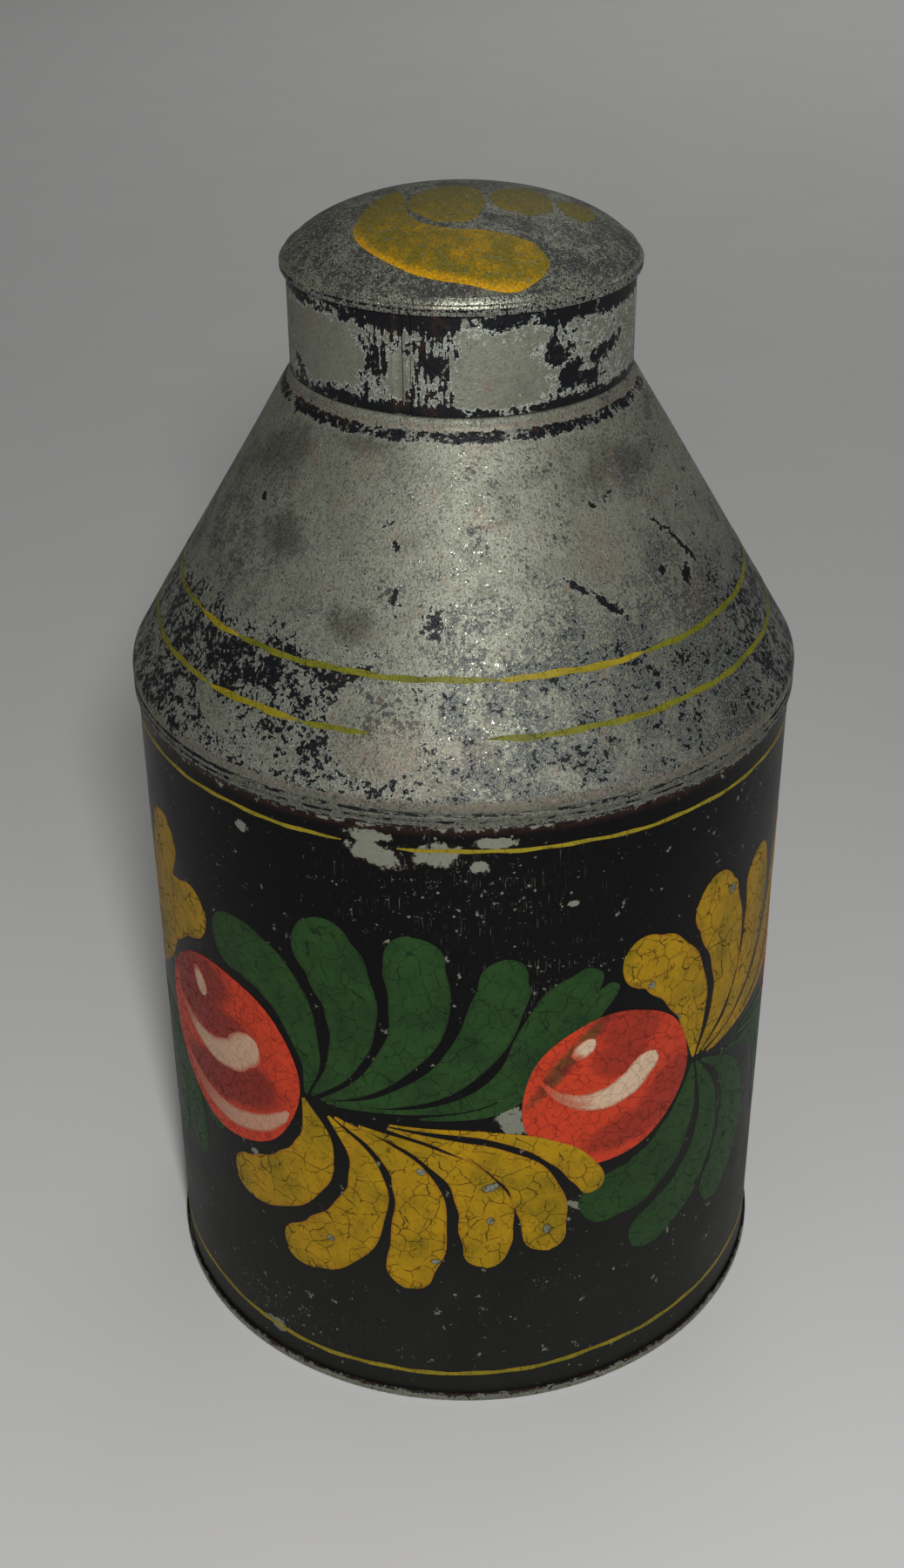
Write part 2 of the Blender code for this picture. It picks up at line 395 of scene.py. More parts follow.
class Signal:
    """A number or vector on its way through a material, so that shader maths reads as sums."""

    def __init__(self, finish, socket):
        self.finish = finish
        self.socket = socket

    def maths(self, operation, *values):
        return self.finish.maths(operation, self, *values)

    def __add__(self, other):
        return self.maths("ADD", other)

    __radd__ = __add__

    def __sub__(self, other):
        return self.maths("SUBTRACT", other)

    def __rsub__(self, other):
        return self.finish.maths("SUBTRACT", other, self)

    def __mul__(self, other):
        return self.maths("MULTIPLY", other)

    __rmul__ = __mul__

    def least(self, other):
        return self.maths("MINIMUM", other)

    def most(self, other):
        return self.maths("MAXIMUM", other)

    def rise(self, low, high):
        """0 below low and 1 above high, smooth between; the other way round when low > high."""
        ends = {1: low, 2: high, 3: 0.0, 4: 1.0} if low < high else {1: high, 2: low, 3: 1.0, 4: 0.0}
        return self.finish.make(
            "ShaderNodeMapRange", {"interpolation_type": "SMOOTHSTEP"}, {0: self, **ends}
        )


class Finish:
    """One material while it is being mixed."""

    def __init__(self, name):
        self.material = bpy.data.materials.new(name)
        self.material.use_nodes = True
        self.tree = self.material.node_tree
        self.tree.nodes.clear()
        self.shader = self.tree.nodes.new("ShaderNodeBsdfPrincipled")
        output = self.tree.nodes.new("ShaderNodeOutputMaterial")
        self.tree.links.new(self.shader.outputs[0], output.inputs["Surface"])

    def feed(self, socket, value):
        if isinstance(value, Signal):
            self.tree.links.new(value.socket, socket)
        else:
            socket.default_value = value

    def make(self, kind, settings=None, values=None, output=0):
        """Adds a node: its settings first, then the values or links of its sockets."""
        node = self.tree.nodes.new(kind)
        for key, value in (settings or {}).items():
            setattr(node, key, value)
        for key, value in (values or {}).items():
            self.feed(node.inputs[key], value)
        return Signal(self, node.outputs[output])

    def maths(self, operation, *values):
        return self.make("ShaderNodeMath", {"operation": operation}, dict(enumerate(values)))

    def vector(self, operation, *values, output=0):
        """Vector maths. A single number goes to the Scale socket."""
        sockets = {"Scale" if isinstance(v, float) else i: v for i, v in enumerate(values)}
        return self.make("ShaderNodeVectorMath", {"operation": operation}, sockets, output)

    def join(self, *parts):
        return self.make("ShaderNodeCombineXYZ", None, dict(enumerate(parts)))

    def split(self, vector):
        return [self.make("ShaderNodeSeparateXYZ", None, {0: vector}, i) for i in range(3)]

    def place_mm(self):
        """Where a point is, in millimetres."""
        where = self.make("ShaderNodeTexCoord", output=3)
        return self.vector("SCALE", where, 1000.0)

    def unrolled(self, where, radius_mm):
        """Arc from the front and height, in millimetres, as a flat place."""
        right, deep, height = self.split(where)
        angle = self.maths("ARCTAN2", right, deep * -1.0)
        return self.join(angle * radius_mm, height, 0.0)

    def uv(self):
        """Along and across a brush stroke."""
        return self.make("ShaderNodeUVMap", {"uv_map": STROKE_UV})

    def noise(self, where, size, detail=4.0, rough=0.55, offset=None):
        """Cloudy noise. An offset gives a pattern unlike the others."""
        if offset:
            where = self.vector("ADD", where, offset)
        return self.make(
            "ShaderNodeTexNoise",
            None,
            {"Vector": where, "Scale": 1.0 / size, "Detail": detail, "Roughness": rough},
        )

    def cells(self, where, size, feature="F1"):
        """Distance to the middle of the nearest cell, or to its edge."""
        return self.make(
            "ShaderNodeTexVoronoi", {"feature": feature}, {"Vector": where, "Scale": 1.0 / size}
        )

    def shifted(self, where, size, amount):
        """The same place, pushed about by noise, so that patterns lose their regularity."""
        push = self.make(
            "ShaderNodeTexNoise", None, {"Vector": where, "Scale": 1.0 / size, "Detail": 3.0}, 1
        )
        push = self.vector("SUBTRACT", push, (0.5, 0.5, 0.5))
        return self.vector("ADD", where, self.vector("SCALE", push, float(amount)))

    def stretched(self, where, scale):
        return self.make(
            "ShaderNodeMapping", {"vector_type": "POINT"}, {"Vector": where, "Scale": scale}
        )

    def blots(self, where, spots):
        """Distance to the nearest of some ovals: 0 in a middle, 1 on an edge, more outside."""
        nearest = None
        for middle_u, middle_z, half_u, half_z, turned in spots:
            local = self.make(
                "ShaderNodeMapping",
                {"vector_type": "TEXTURE"},
                {"Vector": where, "Location": (middle_u, middle_z, 0.0),
                 "Rotation": (0.0, 0.0, math.radians(turned)), "Scale": (half_u, half_z, 1.0)},
            )
            far = self.vector("LENGTH", local, output=1)
            nearest = far if nearest is None else nearest.least(far)
        return nearest

    def colour(self, value):
        return (*value, 1.0) if not isinstance(value, Signal) else value

    def blend(self, share, one, other):
        """one where share is 0, other where it is 1."""
        return self.make(
            "ShaderNodeMix",
            {"data_type": "RGBA"},
            {0: share, 6: self.colour(one), 7: self.colour(other)},
            2,
        )

    def scaled(self, colour, amount):
        """A colour made lighter or darker by a number or signal."""
        grey = self.join(amount, amount, amount) if isinstance(amount, Signal) else (amount,) * 3
        return self.vector("MULTIPLY", colour if isinstance(colour, Signal) else tuple(colour), grey)

    def bump(self, height, distance):
        return self.make("ShaderNodeBump", None, {"Height": height, "Distance": distance})

    def set(self, **sockets):
        """Feeds the shader's sockets, their names written with underscores."""
        for key, value in sockets.items():
            name = key.replace("_", " ")
            if name == "Base Color":
                value = self.colour(value)
            self.feed(self.shader.inputs[name], value)
        return self.material


def start_finish(name, radius_mm):
    """A new finish, where its points are, and the same places unrolled."""
    finish = Finish(name)
    where = finish.place_mm()
    return finish, where, finish.unrolled(where, radius_mm)


def crackle(finish, where, small, wide, seed=0.0):
    """Cracks of old oil paint: broken lines with finer ones between. 1 in a crack."""
    moved_on = finish.vector("ADD", where, (seed, seed * 0.7, 0.0))
    pushed = finish.shifted(moved_on, small * 0.7, small * 0.42)
    broad = finish.cells(pushed, small, "DISTANCE_TO_EDGE")
    fine = finish.cells(pushed, small * 0.47, "DISTANCE_TO_EDGE")
    broken = finish.noise(moved_on, small * 1.1, 3.0, 0.6)
    gone = finish.noise(moved_on, small * 0.9, 3.0, 0.6, (9.0, 4.0, 0.0))
    width = wide * 0.5 / small
    lines = broad.rise(width * 1.5, width * 0.5) * broken.rise(0.41, 0.49)
    width = width / 0.47 * 0.6
    hairs = fine.rise(width * 1.5, width * 0.4) * gone.rise(0.48, 0.56) * 0.75
    return lines.most(hairs)


def black_japan(colours):
    """Old black varnish: chips to bare tin by the shoulder, specks, scratches, and dust with a painted
    reflection of the floor low on the body.
    """
    finish, where, flat = start_finish("black_japan", WALL_MM)
    height = finish.split(flat)[1]
    cloud = finish.noise(where, 14.0, 5.0, 0.6)
    grain = finish.noise(where, 0.8, 4.0, 0.6)
    ragged = finish.noise(where, 2.2, 6.0, 0.68)
    chips = finish.blots(flat, [
        (-16.0, 128.0, 4.2, 1.3, 0.0),
        (-14.5, 124.4, 4.8, 2.4, -14.0),
        (-4.3, 125.2, 4.0, 2.2, 0.0),
        (5.2, 127.4, 3.9, 1.1, 0.0),
        (2.8, 123.0, 1.6, 1.1, 0.0),
        (-40.4, 123.2, 1.3, 1.2, 0.0),
        (18.2, 113.9, 1.1, 0.6, 0.0),
        (8.2, 68.9, 2.3, 4.4, 18.0),
        (-43.0, 50.0, 1.1, 0.9, 0.0),
        (-40.0, 7.5, 2.6, 1.6, 0.0),
        (20.5, 46.8, 2.0, 0.9, -30.0),
    ])
    torn = chips + (ragged - 0.5) * 2.6
    chip = torn.rise(1.0, 0.86)
    edge = torn.rise(1.22, 1.0)
    worn = finish.blots(flat, [
        (0.0, 118.0, 26.0, 15.0, 0.0),
        (14.0, 100.0, 16.0, 10.0, 0.0),
        (16.0, 30.0, 9.0, 3.0, 30.0),
        (-40.0, 12.0, 26.0, 10.0, 0.0),
        (18.0, 46.0, 12.0, 7.0, 0.0),
    ]).rise(1.15, 0.2)
    near_seam = height.rise(129.0, 130.5)
    flecked = finish.cells(finish.shifted(flat, 1.5, 0.8), 1.7)
    chosen = finish.noise(flat, 3.0, 3.0, 0.7)
    speck = flecked.rise(0.20, 0.12) * (chosen + worn * 0.16).rise(0.62, 0.68)
    dotted = finish.cells(flat, 0.55).rise(0.30, 0.18) * (
        finish.noise(flat, 2.2, 5.0, 0.75) + worn * 0.14
    ).rise(0.66, 0.72)
    scratch = finish.noise(finish.stretched(flat, (4.5, 0.22, 1.0)), 1.0, 3.0, 0.5).rise(0.63, 0.70)
    scratch = scratch * (worn * 1.1 + 0.06) * finish.noise(flat, 5.0).rise(0.42, 0.56)
    rim_loss = (near_seam * 0.16 + ragged).rise(0.64, 0.68)
    loss = chip.most(speck * 0.8).most(dotted * 0.6).most(scratch * 0.45).most(rim_loss)
    # Greyer and lighter towards the bottom: dust, and also a painted reflection of the floor.
    dust_and_sheen = height.rise(85.0, 8.0) * (cloud * 0.9 + 0.35).least(1.0)
    varnish = finish.blend(dust_and_sheen, colours.black, colours.dust_and_floor_sheen)
    brown = height.rise(128.4, 130.0) * ragged.rise(0.30, 0.5)
    varnish = finish.blend(brown, varnish, colours.oxide)
    varnish = finish.blend(edge * 0.35 * (1.0 - chip), varnish, colours.oxide)
    metal = finish.scaled(colours.tin, 0.75 + grain * 0.7)
    metal = finish.blend(grain.rise(0.60, 0.66) * 0.8, metal, colours.dark_tin)
    metal = finish.blend(cloud.rise(0.55, 0.7) * 0.5, metal, colours.rust)
    hand = finish.noise(finish.stretched(flat, (0.2, 1.4, 1.0)), 1.0, 3.0, 0.6)
    relief = loss * -1.0 + grain * 0.12 + hand * 0.25 + edge * 0.15
    return finish.set(
        Base_Color=finish.blend(loss, varnish, metal),
        Metallic=loss * 0.55,
        Roughness=cloud * 0.22 + grain * 0.08 + 0.22 + dust_and_sheen * 0.14 + loss * 0.15,
        Specular_IOR_Level=0.10,
        Normal=finish.bump(relief, 0.00006),
    )


def oil_paint(finish, colour, roughness, gloss, relief):
    """Ends a finish as thin oil paint, with a shallow relief."""
    return finish.set(
        Base_Color=colour,
        Roughness=roughness,
        Specular_IOR_Level=gloss,
        Normal=finish.bump(relief, 0.00005),
    )


def paint(name, colour, colours, crack_size, crack_width, crack_dark, streaks, chips=(), seed=0.0):
    """Thin oil paint: streaks along the brush, fine cracks and a few small chips."""
    finish, where, flat = start_finish(name, WALL_MM)
    along = finish.uv()
    cloud = finish.noise(where, 6.0, 4.0, 0.6)
    grain = finish.noise(where, 0.7, 4.0, 0.6)
    brush = finish.noise(finish.stretched(along, (1.3, 16.0, 1.0)), 1.0, 3.0, 0.6)
    cracks = crackle(finish, flat, crack_size, crack_width, seed)
    tone = 1.0 + (cloud - 0.5) * 0.9 + (brush - 0.5) * streaks + (grain - 0.5) * 0.25
    body = finish.scaled(colour, tone)
    deeper = finish.noise(where, 9.0, 5.0, 0.65, (50.0, 8.0, 2.0)).rise(0.44, 0.68)
    body = finish.vector("MULTIPLY", body, finish.blend(deeper, (1.0, 1.0, 1.0), (0.66, 0.76, 0.80)))
    thin = (cloud * 0.6 + brush * 0.6).rise(0.68, 0.84)
    body = finish.blend(thin * 0.35, body, finish.scaled(colour, 0.45))
    side = finish.split(along)[1]
    edge = (side * (1.0 - side) * 4.0 + (grain - 0.5) * 0.5).rise(0.30, 0.0)
    body = finish.blend(edge * 0.5, body, finish.vector("MULTIPLY", tuple(colour), (0.75, 0.45, 0.5)))
    body = finish.blend(cracks * crack_dark, body, colours.black)
    loss = 0.0
    if chips:
        ragged = finish.noise(where, 0.9, 4.0, 0.6)
        field = finish.blots(flat, chips) + (ragged - 0.5) * 1.3
        loss = field.rise(1.0, 0.8)
        body = finish.blend(field.rise(1.35, 1.0) * 0.7, body, colours.oxide)
        bare = finish.blend(grain.rise(0.4, 0.6), colours.dark_tin, colours.tin)
        body = finish.blend(loss, body, bare)
    relief = brush * 0.3 + grain * 0.08 - cracks * 0.8 - loss * 1.0
    return oil_paint(finish, body, 0.42 + cloud * 0.12 + cracks * 0.3, 0.15, relief)


def highlight_paint(name, colours, cover, fade):
    """Warm white drawn out over wet red: it thins to pink along the edges and the tail.

    cover is how thickly it lies, fade how much of its length the tail takes.
    """
    finish, where, flat = start_finish(name, WALL_MM)
    along, side = finish.split(finish.uv())[:2]
    cloud = finish.noise(where, 4.0, 4.0, 0.6)
    grain = finish.noise(where, 0.6, 4.0, 0.65)
    edge = side * (1.0 - side) * 4.0 + (grain - 0.5) * 0.5
    brush = finish.noise(finish.stretched(finish.uv(), (1.2, 12.0, 1.0)), 1.0, 3.0, 0.6)
    drawn = along + (cloud - 0.5) * 0.3 + (brush - 0.5) * fade
    thick = edge.rise(0.0, 0.7) * drawn.rise(-0.1, fade) * cover
    body = finish.blend(thick.rise(0.0, 0.35), colours.red, colours.pink)
    body = finish.blend(thick.rise(0.3, 1.0), body, finish.scaled(colours.white, 0.85 + cloud * 0.3))
    cracks = crackle(finish, flat, 2.1, 0.08, 11.0)
    body = finish.blend(cracks * 0.45, body, colours.oxide)
    return oil_paint(finish, body, 0.40 + cloud * 0.12, 0.18, grain * 0.15 - cracks * 0.6)


def fruit_paint(name, colours, left_rim, streak, depth):
    """A shaded red fruit: bright rim, deep swirls and a net of fine cracks. UVs run -1 to 1.

    left_rim keeps the bright rim on the left, streak adds a dark stroke, depth is how dark
    the swirls are.
    """
    finish, where, flat = start_finish(name, WALL_MM)
    place = finish.shifted(finish.uv(), 0.35, 0.10)
    cloud = finish.noise(where, 5.0, 4.0, 0.6)
    grain = finish.noise(where, 0.6, 4.0, 0.6)
    if left_rim:
        deep = [(0.20, 0.78, 0.42, 0.30, -20.0), (0.10, 0.40, 0.34, 0.26, 0.0),
                (0.70, -0.32, 0.26, 0.52, -38.0), (0.25, -0.62, 0.60, 0.22, 10.0)]
    else:
        deep = [(-0.35, 0.62, 0.55, 0.34, 25.0), (-0.15, 0.30, 0.62, 0.22, 0.0),
                (0.0, -0.36, 0.80, 0.24, 8.0), (0.48, -0.22, 0.28, 0.24, 40.0)]
    shade = finish.blots(place, deep).rise(1.45, 0.45) + (cloud - 0.5) * 0.5
    red = finish.blend(shade.rise(0.05, 0.85) * depth, colours.red, colours.deep_red)
    red = finish.scaled(red, 1.0 + (grain - 0.5) * 0.35 + (cloud - 0.5) * 0.4)
    if streak:
        band = finish.blots(place, [(-0.50, 0.52, 0.72, 0.11, 50.0)]) + (grain - 0.5) * 0.8
        stroke = finish.blend(cloud.rise(0.4, 0.6), colours.green, colours.oxide)
        red = finish.blend(band.rise(1.3, 0.5) * 0.75, red, stroke)
    cracks = crackle(finish, flat, 2.4, 0.15, 7.0)
    red = finish.blend(cracks * 0.50, red, colours.oxide)
    relief = grain * 0.12 - cracks * 0.8
    return oil_paint(finish, red, 0.38 + cloud * 0.12 + cracks * 0.3, 0.18, relief)


def worn_tin(name, colours, dark, blots=(), stains=(), clean=(), rusty=(), brown=None, tarnish=None,
             flakes=0.4, flake_width=0.036, gravel=None, speckle=0.5, reach=1.6, patch_size=3.4,
             grain=1.0, polish=None):
    """Dull tinplate under flecks of old varnish. Marks are placed in degrees and millimetres.

    blots, stains, clean and rusty list single marks. dark, brown, tarnish and gravel each give
    a density over the surface: of black flecks, of red-brown varnish, of smooth stains and of
    fine grey speckle. polish smooths the tin. flakes and flake_width are for the pale edges
    of the flecks, reach pushes the marks about, and patch_size and grain are in millimetres.
    """
    # The fleck field runs from tin to varnish over this narrow step.
    tin_below, varnish_above = 0.598, 0.616
    finish, where, flat = start_finish(name, DEGREES)
    angle, height = finish.split(flat)[:2]
    pushed = finish.shifted(flat, 2.6, reach * 1.6)
    cloud = finish.noise(where, 8.0, 5.0, 0.6)
    uneven = finish.noise(where, 6.5, 4.0, 0.6, (7.0, 60.0, 21.0)) - 0.5
    patch = finish.noise(where, patch_size, 7.0, 0.70, (31.0, 5.0, 11.0))
    grit = finish.noise(where, grain, 5.0, 0.7)
    sand = finish.noise(where, grain * 0.45, 2.0, 0.6)
    crowd = dark(finish, angle, height) + uneven * 0.30
    if blots:
        crowd = crowd + finish.blots(pushed, blots).rise(1.8, 0.2) * 0.235
    if clean:
        crowd = crowd - finish.blots(pushed, clean).rise(1.3, 0.75) * 0.40
    field = patch * 0.46 + grit * 0.89 - 0.175 + crowd
    fleck = field.rise(tin_below, varnish_above)
    halo = field.rise(tin_below - flake_width, tin_below - 0.006) * (1.0 - fleck)
    stain = (cloud + patch * 0.3).rise(0.62, 0.80) * 0.5
    if stains:
        stain = stain.most((finish.blots(pushed, stains) + (cloud - 0.5) * 1.6).rise(1.35, 0.4))
    if tarnish:
        stain = stain.most((tarnish(finish, angle, height) * (patch + 0.5)).least(1.0))
    metal = finish.blend(stain * 0.85, colours.tin, colours.dark_tin)
    tone = 1.0 + (sand - 0.5) * 3.0 * speckle + (grit - 0.5) * 2.2 * speckle + (cloud - 0.5) * 0.7
    metal = finish.scaled(metal, tone)
    pits = (sand * 0.55 + grit * 0.45).rise(0.555, 0.60)
    metal = finish.blend(pits * min(1.0, speckle) * 0.8, metal, colours.dark_tin)
    if gravel:
        peppered = grit * 0.9 + patch * 0.35 + uneven * 0.45 - 0.125 + gravel(finish, angle, height)
        metal = finish.blend(peppered.rise(0.53, 0.555) * 0.85, metal, colours.grey_varnish)
    red = finish.noise(where, 5.0, 7.0, 0.75, (-12.0, 40.0, 3.0)).rise(0.55, 0.70) * 0.5
    if rusty:
        red = red.most(finish.blots(pushed, rusty).rise(1.5, 0.2) * grit.rise(0.40, 0.60) * 0.6)
    metal = finish.blend(red, metal, colours.rust)
    metal = finish.blend(halo * grit.rise(0.38, 0.46) * flakes, metal, colours.pale_tin)
    varnish = colours.black_fleck
    if brown:
        redness = brown(finish, angle, height) + (cloud - 0.5) * 1.4 + (patch - 0.5) * 3.0
        varnish = finish.blend(redness.rise(0.3, 0.9), varnish, colours.oxide)
    surface = finish.blend(fleck, metal, varnish)
    glint = finish.noise(where, 0.6, 2.0, 0.5, (3.0, 17.0, 8.0)).rise(0.58, 0.68)
    relief = fleck * 0.45 + grit * 0.65 + sand * 0.75 + cloud * 0.8 + glint * 0.5
    rough = 0.47 + grit * 0.18 - glint * 0.32 + stain * 0.12 - fleck * 0.1
    if polish:
        rough = rough - polish(finish, angle, height)
    return finish.set(
        Base_Color=surface,
        Metallic=(1.0 - fleck) * 0.55,
        Roughness=rough,
        Specular_IOR_Level=0.2,
        Normal=finish.bump(relief, 0.00008),
    )


def worn_yellow(name, colours, rim):
    """Yellow rubbed thin over speckled tin. With rim it is brighter along the outer edge."""
    finish = Finish(name)
    where = finish.place_mm()
    deep = finish.split(where)[1]
    cloud = finish.noise(where, 4.0, 5.0, 0.65)
    grit = finish.noise(where, 0.9, 4.0, 0.7)
    sand = finish.noise(where, 0.42, 2.0, 0.6)
    # More olive and more bare tin towards the back of the dome.
    towards_back = deep.rise(-20.0, 8.0)
    olive = (cloud * 0.6 + grit * 0.4 + towards_back * 0.18).rise(0.38, 0.57)
    body = finish.blend(olive * 0.9, colours.yellow, colours.olive)
    if rim:
        along, side = finish.split(finish.uv())[:2]
        bright = (side + (grit - 0.5) * 0.35).rise(0.15, 0.03)
        bright = bright * along.rise(0.14, 0.32) * along.rise(0.92, 0.76)
        body = finish.blend(bright, body, colours.bright_yellow)
    body = finish.scaled(body, 0.85 + (sand - 0.5) * 1.6 + (grit - 0.5) * 1.3)
    rubbed = (grit * 0.65 + cloud * 0.20 + sand * 0.30 + towards_back * 0.05).rise(0.645, 0.700)
    metal = finish.blend(sand.rise(0.42, 0.62), colours.grey_varnish, colours.tin)
    body = finish.blend(rubbed * 0.8, body, metal)
    return finish.set(
        Base_Color=body,
        Metallic=rubbed * 0.4,
        Roughness=0.5 + grit * 0.15,
        Specular_IOR_Level=0.2,
        Normal=finish.bump(grit + sand * 0.7 - rubbed * 0.6, 0.00007),
    )


def solder_finish(colours):
    """Dull grey solder, pitted and a little uneven."""
    finish = Finish("solder")
    where = finish.place_mm()
    cloud = finish.noise(where, 2.5, 4.0, 0.6)
    grit = finish.noise(where, 0.5, 4.0, 0.65)
    metal = finish.scaled(colours.solder, 0.7 + cloud * 0.6)
    metal = finish.blend(grit.rise(0.56, 0.66) * 0.6, metal, colours.dark_tin)
    return finish.set(
        Base_Color=metal,
        Metallic=0.75,
        Roughness=0.42 + grit * 0.2,
        Normal=finish.bump(cloud + grit * 0.4, 0.00012),
    )


# ---------------------------------------------------------------- wear of the tin

# Each density takes the finish, the angle in degrees and the height in millimetres.


def steady(value):
    """A density of flecks that is the same everywhere."""
    return lambda finish, angle, height: finish.maths("ADD", value, 0.0)


def cone_dark(finish, angle, height):
    """Flecks crowd towards the foot of the cone, round its left side and under the collar."""
    low = height.rise(161.0, 150.0) * (angle.rise(2.0, -17.0) * 0.062 + 0.088)
    band = height.rise(145.0, 148.0) * height.rise(155.0, 152.0) * angle.rise(-60.0, -50.0)
    band = band * angle.rise(-14.0, -20.0) * 0.055
    left = angle.rise(-46.0, -58.0) * height.rise(180.0, 166.0) * 0.04
    right = angle.rise(52.0, 66.0) * height.rise(182.0, 170.0) * 0.07
    scattered = angle.rise(4.0, 24.0) * height.rise(183.0, 176.0) * 0.026
    collar = height.rise(183.9, 184.8) * height.rise(186.4, 185.8) * 0.21
    bead = height.rise(135.4, 134.8) * -0.09
    flat = finish.join(angle, height, 0.0)
    broken = finish.noise(finish.stretched(flat, (0.28, 1.2, 1.0)), 1.0, 5.0, 0.7)
    crease = height.rise(133.6, 133.35) * height.rise(132.7, 132.95) * (broken * 2.4 - 1.04)
    slit = height.rise(132.3, 132.05) * height.rise(131.5, 131.75) * (broken * 2.8 - 1.30)
    hem = height.rise(131.3, 131.0) * 0.15
    return low + band + left + right + scattered + collar + bead + crease + slit + hem - 0.058


def cone_brown(finish, angle, height):
    """Red-brown varnish under the collar and along the hem of the flange."""
    return height.rise(185.2, 186.2) * 0.6 + height.rise(131.9, 131.2) * 0.5


def cone_tarnish(finish, angle, height):
    """The bead and the flange are darker and browner than the slope."""
    return height.rise(136.0, 135.2) * 0.55 + height.rise(133.6, 133.2) * 0.30


def cone_gravel(finish, angle, height):
    """Fine grey speckle, densest over the lower right of the cone and at its sides."""
    right = angle.rise(-10.0, 0.0) * height.rise(162.0, 152.0) * 0.085
    left = angle.rise(-42.0, -56.0) * height.rise(182.0, 168.0) * 0.08
    far = angle.rise(36.0, 58.0) * 0.055
    middle = angle.rise(-26.0, -12.0) * height.rise(172.0, 162.0) * 0.035
    bead = height.rise(135.4, 134.8) * -0.2
    return right + left + far + middle + height.rise(170.0, 158.0) * 0.012 + bead - 0.062


def skirt_dark(finish, angle, height):
    """A black band at the foot of the skirt, one under the rim, and streaks by the seam."""
    low = height.rise(190.8, 188.8) * 0.23
    top = height.rise(200.8, 203.2) * 0.25
    near_seam = angle.rise(-37.0, -32.0) * angle.rise(1.0, -3.0)
    flat = finish.join(angle, height, 0.0)
    streaks = finish.noise(finish.stretched(flat, (0.7, 0.16, 1.0)), 1.0, 3.0) - 0.5
    right = angle.rise(24.0, 30.0) * 0.085
    line = angle.rise(-19.2, -19.0) * angle.rise(-18.3, -18.5) * 0.6
    return low + top + near_seam * (streaks * 0.8 + 0.18) + right + line - 0.07


def skirt_brown(finish, angle, height):
    """Red-brown varnish under the rim and beside the seam."""
    return height.rise(200.0, 202.5) * 0.1 + angle.rise(-30.0, -24.0) * angle.rise(0.0, -8.0) * 0.4


def base_dark(finish, angle, height):
    """Varnish clings to the upper edge of the base's flange and to its underside."""
    return height.rise(1.1, 1.9) * 0.16 + 0.01


def base_brown(finish, angle, height):
    """Most of what clings to the flange is red-brown."""
    return height.rise(1.0, 2.0) * 0.9


def dome_dark(finish, angle, height):
    """The rim's rolled edge is bare; a black line lies in the crease of its flange."""
    crease = height.rise(206.05, 205.9) * height.rise(205.45, 205.6) * 0.22
    return crease + height.rise(205.6, 205.4) * 0.16 - 0.09


def dome_tarnish(finish, angle, height):
    """The flange is darker than the dome."""
    return height.rise(205.9, 205.6) * 0.7


def dome_gravel(finish, angle, height):
    """Fine grey speckle over the dome, and less on its rim."""
    return height.rise(206.8, 207.4) * 0.07 - 0.04


def dome_polish(finish, angle, height):
    """The rolled rim is rubbed smooth."""
    return height.rise(207.3, 206.7) * height.rise(205.9, 206.1) * 0.26


# Single marks: degrees from the front, height in millimetres, half sizes and turn.
CONE_STAINS = [
    (-60.0, 178.0, 17.0, 5.0, 8.0), (-46.0, 168.0, 7.0, 4.0, 0.0), (-22.0, 158.0, 6.0, 3.0, 0.0),
    (45.0, 178.0, 18.0, 4.0, 0.0), (-30.0, 183.0, 14.0, 2.0, 0.0),
]
CONE_BLOTS = [
    (-40.0, 171.3, 1.7, 0.7, 20.0), (-58.0, 171.7, 1.4, 0.8, 0.0), (-18.0, 173.5, 2.6, 0.7, 30.0),
    (-15.0, 170.0, 1.4, 0.7, 0.0), (-6.0, 160.0, 2.6, 2.2, 30.0), (-14.0, 162.0, 1.2, 3.0, 0.0),
    (25.0, 163.5, 3.2, 0.8, -25.0), (31.0, 160.0, 3.6, 0.9, -30.0), (52.0, 168.0, 3.0, 0.9, -40.0),
    (57.0, 164.0, 4.4, 0.9, -50.0), (55.0, 160.0, 2.3, 1.2, 0.0), (48.0, 162.0, 1.6, 0.7, 0.0),
    (40.0, 175.0, 2.6, 0.7, 20.0), (34.0, 174.0, 1.1, 0.7, 0.0),
]
CONE_CLEAN = [
    (-15.0, 145.0, 7.0, 6.5, 0.0), (-12.0, 153.5, 4.0, 1.6, 0.0), (12.0, 176.0, 16.0, 7.0, 0.0),
    (-22.0, 166.0, 7.0, 3.5, 0.0), (-48.0, 141.5, 5.0, 1.6, -20.0), (8.0, 170.0, 12.0, 3.0, 0.0),
]
CONE_RUST = [
    (-27.0, 180.0, 4.0, 2.5, 0.0), (-15.0, 171.0, 2.5, 1.4, 0.0), (56.0, 158.0, 6.0, 4.0, 0.0),
    (-8.0, 141.0, 12.0, 5.0, 0.0), (5.0, 184.6, 6.0, 2.0, 0.0), (32.0, 168.0, 6.0, 5.0, 0.0),
    (0.0, 134.9, 190.0, 0.9, 0.0), (0.0, 186.4, 190.0, 0.7, 0.0),
]
SKIRT_BLOTS = [
    (29.0, 197.4, 6.0, 2.4, 0.0), (36.0, 193.6, 4.5, 2.0, 10.0), (52.0, 195.5, 9.0, 1.6, 8.0),
    (44.0, 192.0, 8.0, 1.3, 0.0), (-9.0, 196.6, 3.6, 1.8, 0.0), (-64.0, 192.0, 5.0, 2.0, 0.0),
    (12.0, 197.5, 1.2, 0.6, 0.0), (18.0, 192.0, 2.0, 0.8, 0.0), (-44.0, 190.4, 7.0, 1.5, 0.0),
]
SKIRT_CLEAN = [(-51.0, 196.3, 15.0, 4.7, 0.0), (-20.0, 194.5, 3.0, 3.6, 0.0), (10.0, 194.6, 12.0, 4.4, 0.0)]
SKIRT_RUST = [(-9.0, 196.6, 3.0, 2.0, 0.0)]


# ---------------------------------------------------------------- the painting

